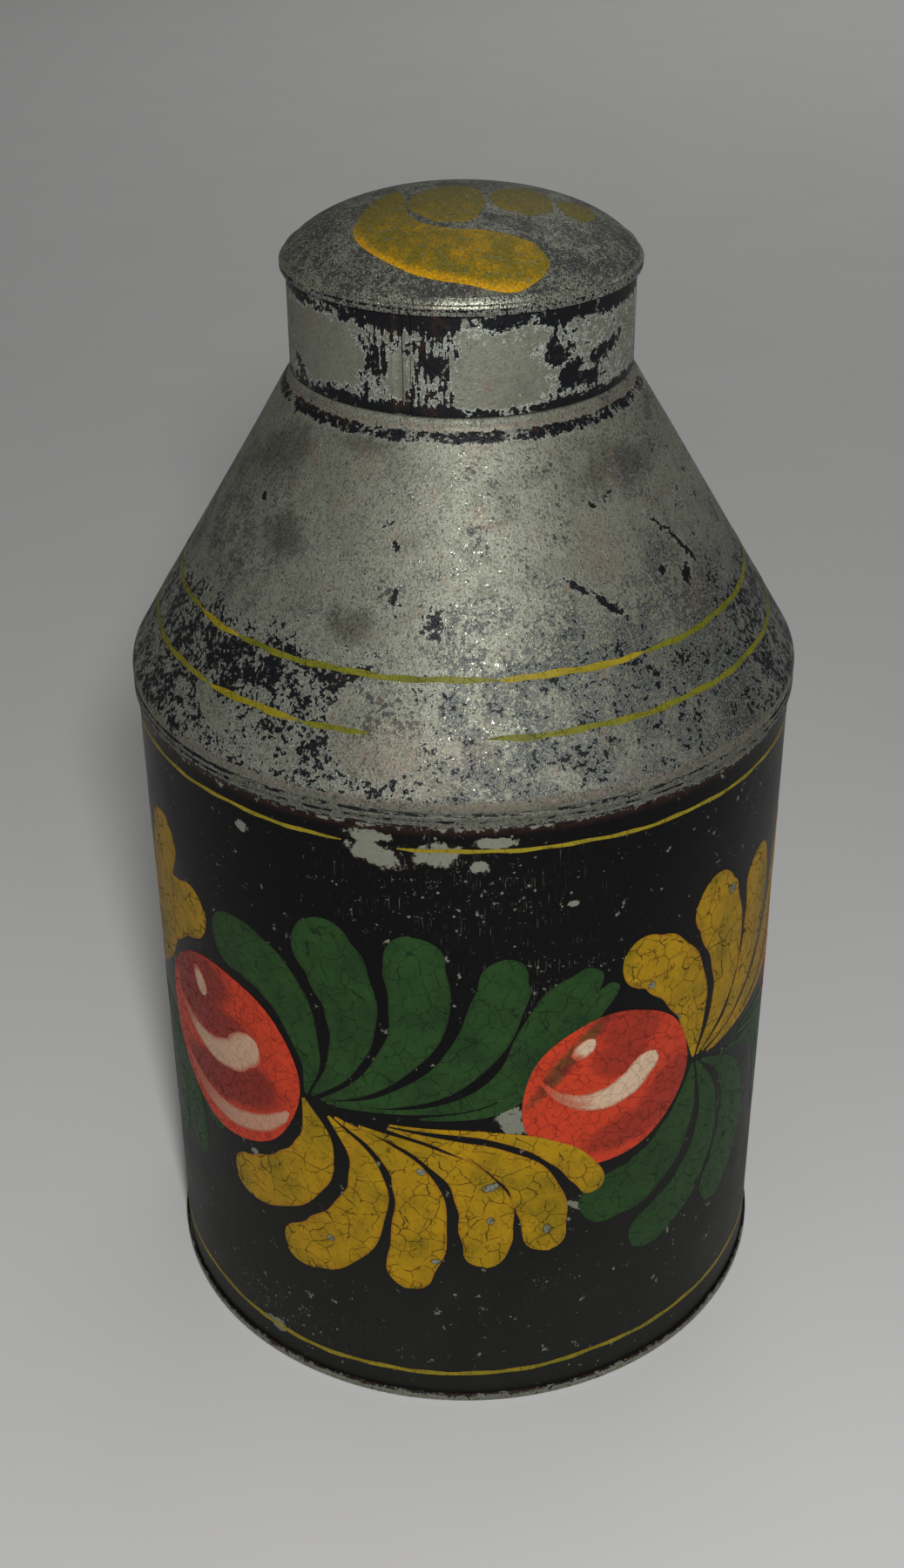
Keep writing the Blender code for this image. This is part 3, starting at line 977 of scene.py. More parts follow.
# Brush strokes: points of the middle line and half the width there, in millimetres.
LEAVES_UP = [
    [(-29.6, 70.3, 0.3), (-28.6, 79.0, 2.3), (-33.0, 90.6, 4.7), (-39.5, 95.8, 5.9), (-44.4, 97.2, 6.1)],
    [(-28.4, 70.3, 0.3), (-22.9, 77.8, 2.4), (-20.5, 85.0, 3.9), (-20.3, 91.5, 5.1), (-22.4, 98.5, 6.1),
     (-25.0, 103.3, 6.2)],
    [(-26.5, 69.9, 0.3), (-18.8, 74.6, 1.7), (-14.3, 79.3, 2.8), (-10.3, 84.9, 3.9), (-7.9, 92.0, 5.2),
     (-8.2, 99.0, 5.5), (-8.7, 103.4, 5.4)],
    [(-25.5, 69.6, 0.3), (-17.0, 71.7, 1.0), (-10.5, 74.3, 2.1), (-2.0, 80.0, 3.5), (3.6, 88.6, 4.6),
     (6.2, 96.0, 4.7), (6.8, 100.0, 4.2)],
    [(-24.0, 69.5, 0.3), (-8.0, 71.3, 0.7), (3.0, 74.6, 2.0), (9.5, 80.6, 3.2), (13.5, 87.5, 4.4),
     (17.5, 93.8, 4.2), (21.5, 97.0, 3.0)],
    [(-8.0, 69.6, 0.3), (4.0, 71.5, 1.1), (12.0, 76.5, 1.7), (16.5, 82.0, 2.2), (20.5, 88.3, 2.5),
     (24.5, 92.7, 2.2), (26.0, 94.0, 1.7)],
]
LEAVES_DOWN = [
    [(-30.3, 69.0, 0.3), (-28.2, 62.0, 2.8), (-28.8, 56.0, 4.4), (-32.2, 50.2, 5.4), (-38.0, 45.5, 5.7),
     (-43.6, 43.3, 5.4)],
    [(-25.3, 66.6, 0.3), (-20.0, 60.0, 2.0), (-18.2, 54.0, 3.5), (-18.6, 48.5, 4.3), (-21.5, 41.5, 5.5),
     (-26.3, 35.8, 6.0), (-31.4, 32.6, 5.2)],
    [(-24.0, 66.7, 0.3), (-17.0, 63.2, 1.4), (-12.6, 59.4, 2.6), (-9.5, 54.5, 4.0), (-8.3, 48.0, 4.8),
     (-8.9, 40.0, 5.2), (-10.4, 33.1, 4.5)],
    [(-19.4, 66.0, 0.3), (-11.5, 63.8, 1.0), (-5.3, 60.6, 2.2), (0.0, 56.3, 3.6), (3.2, 50.0, 4.9),
     (3.8, 43.5, 5.0), (3.7, 38.8, 4.2)],
    [(-14.0, 66.7, 0.3), (-6.5, 65.0, 0.8), (0.0, 62.8, 1.8), (6.3, 59.6, 3.0), (11.2, 54.8, 4.1),
     (13.8, 48.5, 4.7), (14.8, 41.3, 4.1)],
    [(-13.7, 67.5, 0.2), (-1.0, 66.9, 0.6), (6.0, 65.6, 1.0), (12.5, 63.0, 1.8), (18.0, 59.3, 2.7),
     (21.6, 55.0, 2.9), (23.6, 51.6, 2.7)],
]
RIGHT_UP = [
    [(46.0, 70.6, 0.3), (45.7, 77.0, 2.5), (44.8, 83.5, 4.1), (41.8, 90.0, 5.2), (37.4, 95.2, 5.6),
     (33.3, 97.8, 5.3)],
    [(47.0, 70.6, 0.3), (51.0, 75.5, 1.8), (54.0, 81.0, 3.4), (55.0, 87.5, 4.7), (53.9, 94.0, 5.6),
     (51.5, 100.0, 6.1), (50.2, 102.7, 5.9)],
    [(48.5, 70.6, 0.3), (56.0, 74.0, 1.6), (61.2, 79.6, 3.3), (64.8, 86.0, 4.8), (66.5, 93.0, 5.5),
     (66.0, 101.0, 5.2)],
]
RIGHT_DOWN = [
    [(46.0, 69.3, 0.3), (45.0, 63.0, 2.3), (42.8, 56.8, 4.2), (38.6, 51.0, 5.5), (32.8, 47.4, 6.0),
     (26.8, 46.4, 5.6)],
    [(47.0, 69.0, 0.3), (50.3, 61.5, 2.0), (51.7, 54.5, 3.0), (50.7, 47.5, 4.0), (46.9, 41.0, 4.7),
     (41.5, 36.7, 5.0), (37.2, 34.6, 5.0)],
    [(48.5, 68.6, 0.3), (54.5, 64.2, 1.5), (58.6, 59.4, 3.0), (61.0, 53.0, 4.7), (61.3, 46.0, 5.8),
     (59.3, 39.5, 5.8), (56.5, 35.3, 5.4)],
]
LEFT_UP = [
    [(-107.0, 69.5, 0.3), (-90.0, 71.5, 1.2), (-79.0, 76.0, 2.8), (-72.5, 83.0, 4.2), (-68.3, 90.0, 5.0),
     (-63.3, 95.0, 5.8), (-57.8, 97.5, 5.5)],
    [(-107.0, 69.6, 0.3), (-95.0, 74.0, 2.0), (-84.0, 82.0, 3.8), (-76.0, 92.5, 5.0), (-71.5, 100.5, 5.8),
     (-68.3, 107.0, 6.0)],
]
# Highlights of the fruits, in the same way.
COMMA_LEFT = [(-66.0, 74.5, 0.3), (-60.0, 70.8, 1.6), (-53.5, 69.2, 2.9), (-47.5, 70.7, 3.8),
              (-43.6, 74.0, 4.1)]
COMMA_RIGHT = [(13.0, 77.3, 0.2), (17.5, 72.6, 1.2), (23.5, 70.3, 2.4), (29.5, 71.4, 3.2),
               (33.7, 74.8, 3.1)]
CRESCENT = [(-66.0, 62.5, 0.3), (-58.0, 57.6, 1.8), (-50.0, 56.0, 2.3), (-42.0, 57.8, 2.2),
            (-36.0, 61.6, 1.5), (-34.3, 63.6, 0.8)]
DOT_LEFT = [(-57.6, 85.6, 0.7), (-56.6, 83.8, 1.7), (-55.8, 82.0, 2.1)]
DOT_RIGHT = [(19.4, 80.9, 1.0), (20.5, 82.0, 1.8), (21.7, 83.0, 1.8)]
# Middle and half sizes of the fruits, and of the petals on the dome.
FRUIT_LEFT = (-50.4, 70.5, 19.4, 19.2)
FRUIT_RIGHT = (26.9, 72.0, 17.1, 16.7)
PETALS = ((-2.0, -4.0, 6.2, 9.4), (10.0, -1.5, 5.2, 7.4), (19.0, -1.5, 3.2, 4.6))


# The swirl on the dome, seen from above in millimetres: outer edge, inner edge.
SWIRL_OUTER = [(-11.5, 4.5), (-15.2, -2.5), (-17.2, -11.5), (-14.6, -18.8), (-9.0, -24.0), (-3.0, -27.0),
               (3.0, -28.0), (8.6, -27.4), (12.3, -25.0), (13.9, -21.6)]
SWIRL_INNER = [(-10.4, 5.0), (-9.3, -0.5), (-8.5, -8.0), (-6.5, -12.5), (-4.0, -14.3), (-1.0, -15.2),
               (3.0, -15.8), (7.6, -16.2), (11.4, -17.8), (13.7, -20.6)]


def moved(strokes, by, seed, loose=0.9):
    """The same strokes further round the tin, each a little different, as a hand repeats them."""
    draw = random.Random(seed)
    copies = []
    for points in strokes:
        lean = draw.uniform(-loose, loose)
        fat = draw.uniform(0.93, 1.07)
        copies.append([
            (u + by + lean * i / len(points), z + 0.6 * lean * i / len(points), half * fat)
            for i, (u, z, half) in enumerate(points)
        ])
    return copies


def follow(points, share):
    """A point and half width on the smooth line through the points, share from 0 to 1."""
    spans = len(points) - 1
    span = min(spans - 1, int(share * spans))
    t = share * spans - span
    first = points[span - 1] if span else [2 * a - b for a, b in zip(points[0], points[1])]
    last = points[span + 2] if span + 2 <= spans else [2 * a - b for a, b in zip(points[-1], points[-2])]
    return [
        b + 0.5 * t * ((c - a) + t * ((2 * a - 5 * b + 4 * c - d) + t * (3 * b - a - 3 * c + d)))
        for a, b, c, d in zip(first, points[span], points[span + 1], last)
    ]


def add_stroke(shape, points, lift, surface=on_wall, columns=46, rows=8):
    """One brush stroke: a fine tail that swells and ends in a round head."""
    # The head starts at this share of the stroke.
    head = 0.84
    seed = points[0][0] + points[-1][1]

    def place(along, across, top):
        share = min(1.0, along / head)
        u, z, half = follow(points, share)
        ahead = follow(points, min(1.0, share + 0.01))
        behind = follow(points, max(0.0, share - 0.01))
        run, rise = ahead[0] - behind[0], ahead[1] - behind[1]
        long = math.hypot(run, rise)
        run, rise = run / long, rise / long
        side = 2.0 * across - 1.0
        half *= 1.0 + 0.035 * math.sin(31 * along + seed + 1.7 * side)
        if along > head:
            round_off = (along - head) / (1.0 - head) * math.pi / 2
            u += run * half * math.sin(round_off)
            z += rise * half * math.sin(round_off)
            half *= max(0.04, math.cos(round_off))
        u -= rise * half * side
        z += run * half * side
        rounded = 1.0 - 0.45 * abs(side) ** 4
        return surface(u, z, lift * rounded if top else -SUNK)

    add_slab(shape, columns, rows, place)


def add_oval(shape, oval, lift, surface=on_wall, rings=10, spokes=72, uneven=0.012):
    """A fruit or a petal: a slightly uneven oval of thick paint."""
    middle_u, middle_z, half_u, half_z = oval

    def place(right, up, top):
        angle = math.atan2(up, right)
        reach = 1.0 + uneven * (math.sin(3 * angle + middle_u) + 0.6 * math.sin(7 * angle + middle_z))
        far = math.hypot(right, up)
        rounded = 1.0 - 0.4 * far ** 6
        return surface(
            middle_u + half_u * right * reach,
            middle_z + half_z * up * reach,
            lift * rounded if top else -SUNK,
        )

    add_disc(shape, rings, spokes, place)


def on_dome_mm(across, deep, lift):
    """The same in millimetres, as the strokes are laid out."""
    return on_dome(across * MM, deep * MM, lift)


def add_swirl(shape, outer, inner, lift):
    """A broad stroke between two edges on the dome."""

    def place(along, across, top):
        a = follow([(*p, 0.0) for p in outer], along)
        b = follow([(*p, 0.0) for p in inner], along)
        side = across + 0.02 * math.sin(23 * along + 5 * across)
        x = a[0] + (b[0] - a[0]) * side
        y = a[1] + (b[1] - a[1]) * side
        return on_dome_mm(x, y, lift * (1.0 - 0.4 * (2 * across - 1) ** 4) if top else -SUNK)

    add_slab(shape, 60, 16, place)


def level(points, at):
    """Reads a smooth value from (place, value) pairs in rising order of place."""
    if at <= points[0][0]:
        return points[0][1]
    for (low, first), (high, last) in zip(points, points[1:]):
        if at <= high:
            return first + (last - first) * ease(at, low, high)
    return points[-1][1]


def add_line(shape, start, end, heights, half, lift, surface, seed=0.0):
    """A hand-painted line from start to end degrees, its height read from heights."""
    columns = max(8, int((end - start) / 1.2))

    def place(along, across, top):
        degrees = start + (end - start) * along
        height = level(heights, degrees)
        height += 0.10 * math.sin(0.31 * degrees + seed) + 0.06 * math.sin(0.83 * degrees + 2 * seed)
        tail = min(1.0, 0.25 + 3.0 * min(along, 1.0 - along) * (end - start) / 12.0)
        wide = half * (0.9 + 0.14 * math.sin(0.7 * degrees + seed) + 0.05 * math.sin(2.3 * degrees)) * tail
        return surface(degrees, height + wide * (2.0 * across - 1.0), lift if top else -SUNK)

    add_slab(shape, columns, 3, place)


def wall_at_degrees(degrees, height_mm, lift):
    """A point of a line on the wall."""
    angle = math.radians(degrees)
    return on_round(angle, wall_radius(angle, height_mm * MM) + lift, height_mm * MM)


def cone_at_degrees(degrees, height_mm, lift):
    """A point of a line on the cone."""
    return on_cone(math.radians(degrees), height_mm * MM, lift)


# ---------------------------------------------------------------- operators


def tin_colours():
    return bpy.context.scene.canister_colours


class CanisterPiece:
    """What every step shares."""

    bl_options = {"REGISTER", "UNDO"}

    def need(self, *nodes):
        """Stops the script where the frame lacks a node that the step works on."""
        for node in nodes:
            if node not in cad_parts:
                raise RuntimeError(f"the frame has no node named {node}")


class CANISTER_OT_wall(CanisterPiece, bpy.types.Operator):
    """Rolls the body wall with its lapped seam at the back"""

    bl_idname = "canister.wall"
    bl_label = "Body wall"

    def execute(self, context):
        self.need("body_wall", "body_seam_solder")
        sizes = context.scene.canister_sizes
        shape = bmesh.new()
        add_lapped_band(
            shape, 264, 36, sizes.body_seam, WALL_BOX[0].z, WALL_BOX[1].z,
            wall_radius,
        )
        japan = black_japan(tin_colours())
        finish_piece("wall_sheet", shape, japan, "canister", ["body_wall"])
        # The varnish runs over the solder in the seam.
        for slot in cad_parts["body_seam_solder"].material_slots:
            slot.material = japan
        return {"FINISHED"}


class CANISTER_OT_base(CanisterPiece, bpy.types.Operator):
    """Turns the base plate with its edge drawn up round the wall"""

    bl_idname = "canister.base"
    bl_label = "Base plate"

    def execute(self, context):
        self.need("base_plate")
        sizes = context.scene.canister_sizes
        outer = CONE_BOX[1].x
        inner = outer - sizes.sheet
        top = sizes.base_flange
        outline = [
            (0.0, 0.0),
            (outer - 0.004, 0.0),
            (outer - 0.0012, 0.0),
            *arc((outer - 0.0005, 0.0005), 0.0005, -math.pi / 2, 0.0, 4)[1:],
            (outer - 0.00003, top - 0.0007),
            (outer - 0.00001, top - 0.00015),
            (outer - 0.0001, top),
            (inner + 0.0001, top),
            (inner, top - 0.0001),
            (inner, 0.0006),
            (inner - 0.0003, sizes.sheet),
            (0.0, sizes.sheet),
        ]
        shape = bmesh.new()
        add_turned(shape, outline, 240)
        # The edge of the flange was cut by hand, so its top wavers by up to twice this.
        hand_cut = 0.00014
        for point in shape.verts:
            if point.co.z > top - 0.0009:
                angle = math.atan2(point.co.x, -point.co.y)
                point.co.z -= hand_cut * (1.0 + waver(5 * angle, 0.03))
        colours = tin_colours()
        base_tin = worn_tin("base_tin", colours, base_dark, brown=base_brown, speckle=0.8)
        finish_piece("base_sheet", shape, base_tin, "canister", ["base_plate"])
        return {"FINISHED"}


class CANISTER_OT_shoulder(CanisterPiece, bpy.types.Operator):
    """Rolls the cone with its collar, its bead and the flange over the wall"""

    bl_idname = "canister.shoulder"
    bl_label = "Shoulder cone"

    def execute(self, context):
        self.need("shoulder_cone")
        sizes = context.scene.canister_sizes
        centre, radius, turn_up, foot = cone_foot()
        outer = CONE_BOX[1].x
        seat = NECK_BOX[1].x + sizes.gap
        collar = SKIRT_BOX[1].x
        top = sizes.collar_top
        slope_count = 34
        slope_top = top - 0.0024
        slope = [
            slope_top + (foot[1] - slope_top) * i / slope_count for i in range(slope_count + 1)
        ]
        profile = [
            (seat, top),
            (collar - 0.0009, top),
            (collar - 0.0002, top - 0.0001),
            (collar + 0.0001, top - 0.0004),
            (collar + 0.00025, top - 0.0009),
            (collar + 0.0003, top - 0.0013),
            (collar + 0.00045, top - 0.0017),
            (collar + 0.00078, top - 0.0021),
            *[(cone_radius(height), height) for height in slope],
            *reversed(arc(centre, radius, -0.12, turn_up, 9)[:-1]),
            (outer - 0.00020, sizes.shoulder_seam + 0.0027),
            (outer - 0.00022, sizes.shoulder_seam + 0.0025),
            (outer - 0.00004, sizes.shoulder_seam + 0.0022),
            (outer - 0.00001, sizes.shoulder_seam + 0.0018),
            (outer - 0.00003, sizes.shoulder_seam + 0.00155),
            (outer - 0.00024, sizes.shoulder_seam + 0.00145),
            (outer - 0.00024, sizes.shoulder_seam + 0.00130),
            (outer - 0.00003, sizes.shoulder_seam + 0.00118),
            (outer, sizes.shoulder_seam + 0.0008),
            (outer, sizes.shoulder_seam + 0.0002),
            (outer - 0.0001, sizes.shoulder_seam),
        ]
        hidden = inside_of(profile, sizes.sheet)
        hidden = [
            (min(r, outer - sizes.sheet), z) if z < sizes.shoulder_seam + 0.0033 else (r, z)
            for r, z in hidden
        ]
        hidden[-1] = (outer - sizes.sheet + 0.0001, sizes.shoulder_seam)
        hidden[0] = (seat, top - sizes.sheet)
        rows = len(profile) - 1
        long = math.tau - 0.5 * sizes.gap / collar
        # Rows of the seat and collar, before the slope starts.
        first_slope = 8

        def place(along, across, outside):
            row = round(across * rows)
            angle = sizes.body_seam + long * along
            r, z = (profile if outside else hidden)[row]
            if first_slope <= row <= first_slope + slope_count:
                height = slope[row - first_slope]
                return on_cone(angle, height, 0.0 if outside else -sizes.sheet)
            if row == rows:
                z += sizes.dent * waver(7 * angle, 0.02)
            return on_round(angle, r, z)

        shape = bmesh.new()
        add_slab(shape, 264, rows, place)
        colours = tin_colours()
        cone_tin = worn_tin(
            "cone_tin", colours, cone_dark, blots=CONE_BLOTS, stains=CONE_STAINS, clean=CONE_CLEAN,
            rusty=CONE_RUST, brown=cone_brown, tarnish=cone_tarnish, flakes=0.55,
            gravel=cone_gravel, speckle=0.8, grain=0.9,
        )
        finish_piece("shoulder_sheet", shape, cone_tin, "canister", ["shoulder_cone"])
        return {"FINISHED"}


class CANISTER_OT_neck(CanisterPiece, bpy.types.Operator):
    """Rolls the neck that the cap slips over"""

    bl_idname = "canister.neck"
    bl_label = "Neck"

    def execute(self, context):
        self.need("neck_band", "neck_seam_solder")
        sizes = context.scene.canister_sizes
        shape = bmesh.new()
        radius = NECK_BOX[1].x
        add_lapped_band(
            shape, 200, 10, sizes.body_seam, NECK_BOX[0].z, NECK_BOX[1].z, lambda angle, height: radius
        )
        neck_tin = worn_tin("neck_tin", tin_colours(), steady(-0.09), speckle=0.45)
        finish_piece("neck_sheet", shape, neck_tin, "canister", ["neck_band"])
        return {"FINISHED"}


class CANISTER_OT_solder(CanisterPiece, bpy.types.Operator):
    """Gives the solder of the frame its finish"""

    bl_idname = "canister.solder"
    bl_label = "Solder"

    def execute(self, context):
        kept = [
            "base_solder", "shoulder_seam_solder", "shoulder_solder", "neck_seam_solder",
            "neck_solder", "cap_solder",
        ]
        self.need(*kept)
        solder = solder_finish(tin_colours())
        for name in kept:
            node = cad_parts[name]
            for slot in node.material_slots:
                slot.material = solder
        return {"FINISHED"}


class CANISTER_OT_cap(CanisterPiece, bpy.types.Operator):
    """Makes the cap: its lapped skirt, the solder in the lap and the domed top"""

    bl_idname = "canister.cap"
    bl_label = "Cap"

    def execute(self, context):
        self.need("cap_skirt", "cap_top", "cap_seam_solder")
        sizes = context.scene.canister_sizes
        colours = tin_colours()
        radius = SKIRT_BOX[1].x
        shape = bmesh.new()
        add_lapped_band(
            shape, 220, 16, sizes.cap_seam, SKIRT_BOX[0].z, SKIRT_BOX[1].z,
            lambda angle, height: radius, wave=0.00012,
        )
        skirt_tin = worn_tin(
            "skirt_tin", colours, skirt_dark, blots=SKIRT_BLOTS, clean=SKIRT_CLEAN,
            rusty=SKIRT_RUST, brown=skirt_brown, flakes=1.0, flake_width=0.062, speckle=0.30,
            reach=1.1, patch_size=2.2,
        )
        finish_piece("cap_skirt_sheet", shape, skirt_tin, "cap", ["cap_skirt"])

        shape = bmesh.new()
        add_bar(
            shape, sizes.cap_seam, radius, SKIRT_BOX[0].z + sizes.gap,
            CAP_BOX[0].z - sizes.gap, 0.00006,
        )
        finish_piece("cap_seam_bar", shape, skirt_tin, "cap", ["cap_seam_solder"])

        outer = CAP_BOX[1].x
        foot = CAP_BOX[0].z
        dome_edge = outer - 0.0016
        rings = 22
        dome = [(dome_edge * i / rings, dome_height(dome_edge * i / rings)) for i in range(rings + 1)]
        edge_z = dome[-1][1]
        rim_z = foot + 0.0015
        profile = [
            *dome,
            (outer - 0.0010, edge_z - 0.00032),
            (outer - 0.0005, rim_z + 0.00022),
            (outer - 0.00018, rim_z + 0.00004),
            (outer - 0.00002, rim_z - 0.0003),
            (outer - 0.00010, rim_z - 0.00055),
            (outer - 0.00014, rim_z - 0.00062),
            (outer - 0.00004, rim_z - 0.00072),
            (outer - 0.00006, foot + 0.0002),
            (outer - 0.00014, foot),
        ]
        hidden = [(max(0.0, r), z) for r, z in inside_of(profile, sizes.sheet)]
        hidden = [(min(r, outer - sizes.sheet - 0.0001), z) for r, z in hidden]
        hidden[0] = (0.0, CAP_BOX[1].z - sizes.sheet)
        hidden[-1] = (outer - sizes.sheet - 0.00006, foot)
        shape = bmesh.new()
        add_turned(shape, [*profile, *reversed(hidden)], 200)
        dome_tin = worn_tin(
            "dome_tin", colours, dome_dark, rusty=[(-8.0, 205.8, 4.0, 0.8, 0.0)], brown=skirt_brown,
            tarnish=dome_tarnish, flakes=0.9, gravel=dome_gravel, polish=dome_polish,
            speckle=1.8, patch_size=1.6, grain=0.66,
        )
        finish_piece("cap_dome", shape, dome_tin, "cap", ["cap_top"])
        return {"FINISHED"}


class CANISTER_OT_garland(CanisterPiece, bpy.types.Operator):
    """Paints the garland of leaves and fruits round the wall"""

    bl_idname = "canister.garland"
    bl_label = "Garland"

    def execute(self, context):
        sizes = context.scene.canister_sizes
        colours = tin_colours()
        green = paint("leaf_green", colours.green, colours, 3.2, 0.11, 0.60, 0.6, seed=3.0)
        yellow = paint(
            "leaf_yellow", colours.yellow, colours, 3.9, 0.14, 0.78, 0.5,
            chips=[
                (-8.0, 57.5, 0.8, 0.7, 0.0), (4.5, 54.0, 1.6, 0.8, 20.0), (-26.0, 37.0, 0.8, 0.7, 0.0),
                (-5.5, 36.0, 0.9, 0.6, 0.0), (4.5, 46.0, 0.7, 0.8, 0.0), (15.0, 42.5, 0.7, 1.1, 0.0),
                (34.5, 92.0, 0.7, 0.7, 0.0), (41.0, 82.0, 0.7, 0.8, 0.0), (55.0, 103.0, 1.1, 1.0, 0.0),
            ],
        )
        white = highlight_paint("highlight_white", colours, 0.74, 0.35)
        drawn_out = highlight_paint("highlight_drawn_out", colours, 1.0, 0.7)
        faint = highlight_paint("highlight_faint", colours, 0.62, 0.4)
        # Name, upper strokes, lower strokes, and whether the upper ones are the yellow ones.
        units = [
            ("left", LEFT_UP + moved(LEAVES_UP[:3], -78.0, 3), moved(LEAVES_DOWN, -78.0, 4), True),
            ("middle", LEAVES_UP, LEAVES_DOWN[:5], False),
            ("right", RIGHT_UP + moved(LEAVES_UP[3:5], 75.5, 5),
             RIGHT_DOWN + moved(LEAVES_DOWN[3:], 75.5, 6), True),
            ("back_right", moved(LEAVES_UP, 150.0, 7), moved(LEAVES_DOWN, 150.0, 8), False),
            ("back_left", moved(LEAVES_UP, 224.5, 9), moved(LEAVES_DOWN, 224.5, 10), True),
        ]
        for name, upper, lower, yellow_up in units:
            for part, strokes, is_yellow in (
                ("upper", upper, yellow_up), ("lower", lower, not yellow_up),
            ):
                shape = bmesh.new()
                for i, points in enumerate(strokes):
                    # Each stroke lies a hair over the one before.
                    add_stroke(shape, points, sizes.stroke_height + i * 0.000005)
                finish_piece(
                    f"leaves_{name}_{part}", shape, yellow if is_yellow else green,
                    "canister",
                )
        shape = bmesh.new()
        add_stroke(shape, LEAVES_DOWN[5], sizes.light_height)
        finish_piece("leaf_over_fruit", shape, yellow, "canister")

        red_left = fruit_paint("fruit_red_left", colours, False, False, 0.95)
        red_right = fruit_paint("fruit_red_right", colours, True, True, 0.65)
        # Name, oval, dot, comma, crescent, millimetres further round the wall, and paint.
        fruits = [
            ("left", FRUIT_LEFT, DOT_LEFT, COMMA_LEFT, CRESCENT, 0.0, red_left),
            ("right", FRUIT_RIGHT, DOT_RIGHT, COMMA_RIGHT, None, 0.0, red_right),
            ("back_right", FRUIT_LEFT, DOT_LEFT, COMMA_LEFT, CRESCENT, 150.2, red_left),
            ("back", FRUIT_RIGHT, DOT_RIGHT, COMMA_RIGHT, None, 148.6, red_left),
            ("back_left", FRUIT_RIGHT, DOT_RIGHT, COMMA_RIGHT, None, -155.2, red_left),
        ]
        for name, oval, dot, comma, crescent, by, red in fruits:
            shape = bmesh.new()
            add_oval(shape, (oval[0] + by, *oval[1:]), sizes.fruit_height)
            finish_piece(f"fruit_{name}", shape, red, "canister")
            shape = bmesh.new()
            lift = sizes.light_height
            add_stroke(shape, moved([dot], by, 2, 0.0)[0], lift, columns=20)
            add_stroke(shape, moved([comma], by, 1, 0.0)[0], lift)
            finish_piece(
                f"fruit_{name}_highlights", shape, white if crescent else drawn_out,
                "canister",
            )
            if crescent:
                shape = bmesh.new()
                add_stroke(shape, moved([crescent], by, 1, 0.0)[0], lift)
                finish_piece(f"fruit_{name}_crescent", shape, faint, "canister")
        return {"FINISHED"}


class CANISTER_OT_lines(CanisterPiece, bpy.types.Operator):
    """Draws the thin yellow lines round the wall and the cone"""

    bl_idname = "canister.lines"
    bl_label = "Lines"

    def execute(self, context):
        sizes = context.scene.canister_sizes
        colours = tin_colours()
        half = sizes.line_width / 2 / MM
        line = paint("line_yellow", colours.line_yellow, colours, 3.0, 0.10, 0.45, 0.4, seed=5.0)
        olive = paint("line_olive", colours.line_olive, colours, 3.0, 0.10, 0.45, 0.5, seed=9.0)
        wall_low = [
            (-180.0, 8.0), (-62.0, 8.3), (-29.0, 6.8), (0.0, 7.0), (33.0, 8.4), (70.0, 8.8), (180.0, 8.0),
        ]
        wall_high = [
            (-180.0, 126.2), (-48.0, 126.8), (0.0, 126.0), (38.0, 125.5), (70.0, 125.5), (180.0, 126.2),
        ]
        cone_low = [(-180.0, 144.1), (180.0, 144.1)]
        cone_high = [(-180.0, 152.2), (180.0, 152.2)]
        # Name, paint, surface, width, and the stretches: start and end in degrees, heights, seed.
        # On the cone each line is worn away in the middle, and turns from olive to bright.
        lines = [
            ("line_wall_low", line, wall_at_degrees, 1.0, [(-179.0, 179.0, wall_low, 0.4)]),
            ("line_wall_high", line, wall_at_degrees, 0.76, [
                (-179.0, -19.5, wall_high, 1.9), (-10.5, 179.0, wall_high, 1.9),
            ]),
            ("lines_cone_olive", olive, cone_at_degrees, 0.9, [
                (-179.0, -62.0, cone_high, 2.4), (-47.5, 6.5, cone_high, 2.4),
                (35.5, 179.0, cone_high, 2.4), (-179.0, -50.5, cone_low, 0.9),
                (-28.5, -16.0, cone_low, 0.9), (4.0, 179.0, cone_low, 0.9),
            ]),
            ("lines_cone_bright", line, cone_at_degrees, 1.0, [
                (-62.0, -47.5, cone_high, 2.4), (6.5, 35.5, cone_high, 2.4),
                (-50.5, -28.5, cone_low, 0.9),
            ]),
        ]
        for name, finish, surface, width, stretches in lines:
            shape = bmesh.new()
            for start, end, heights, seed in stretches:
                add_line(shape, start, end, heights, width * half, sizes.stroke_height, surface, seed)
            finish_piece(name, shape, finish, "canister")
        return {"FINISHED"}


class CANISTER_OT_swirl(CanisterPiece, bpy.types.Operator):
    """Paints the worn yellow swirl on the dome"""

    bl_idname = "canister.swirl"
    bl_label = "Dome swirl"

    def execute(self, context):
        sizes = context.scene.canister_sizes
        colours = tin_colours()
        shape = bmesh.new()
        add_swirl(shape, SWIRL_OUTER, SWIRL_INNER, sizes.stroke_height)
        finish_piece(
            "dome_swirl", shape, worn_yellow("dome_yellow_rim", colours, True), "cap"
        )
        shape = bmesh.new()
        for oval in PETALS:
            add_oval(shape, oval, sizes.stroke_height, on_dome_mm, rings=8, spokes=48, uneven=0.05)
        finish_piece(
            "dome_petals", shape, worn_yellow("dome_yellow", colours, False), "cap"
        )
        return {"FINISHED"}


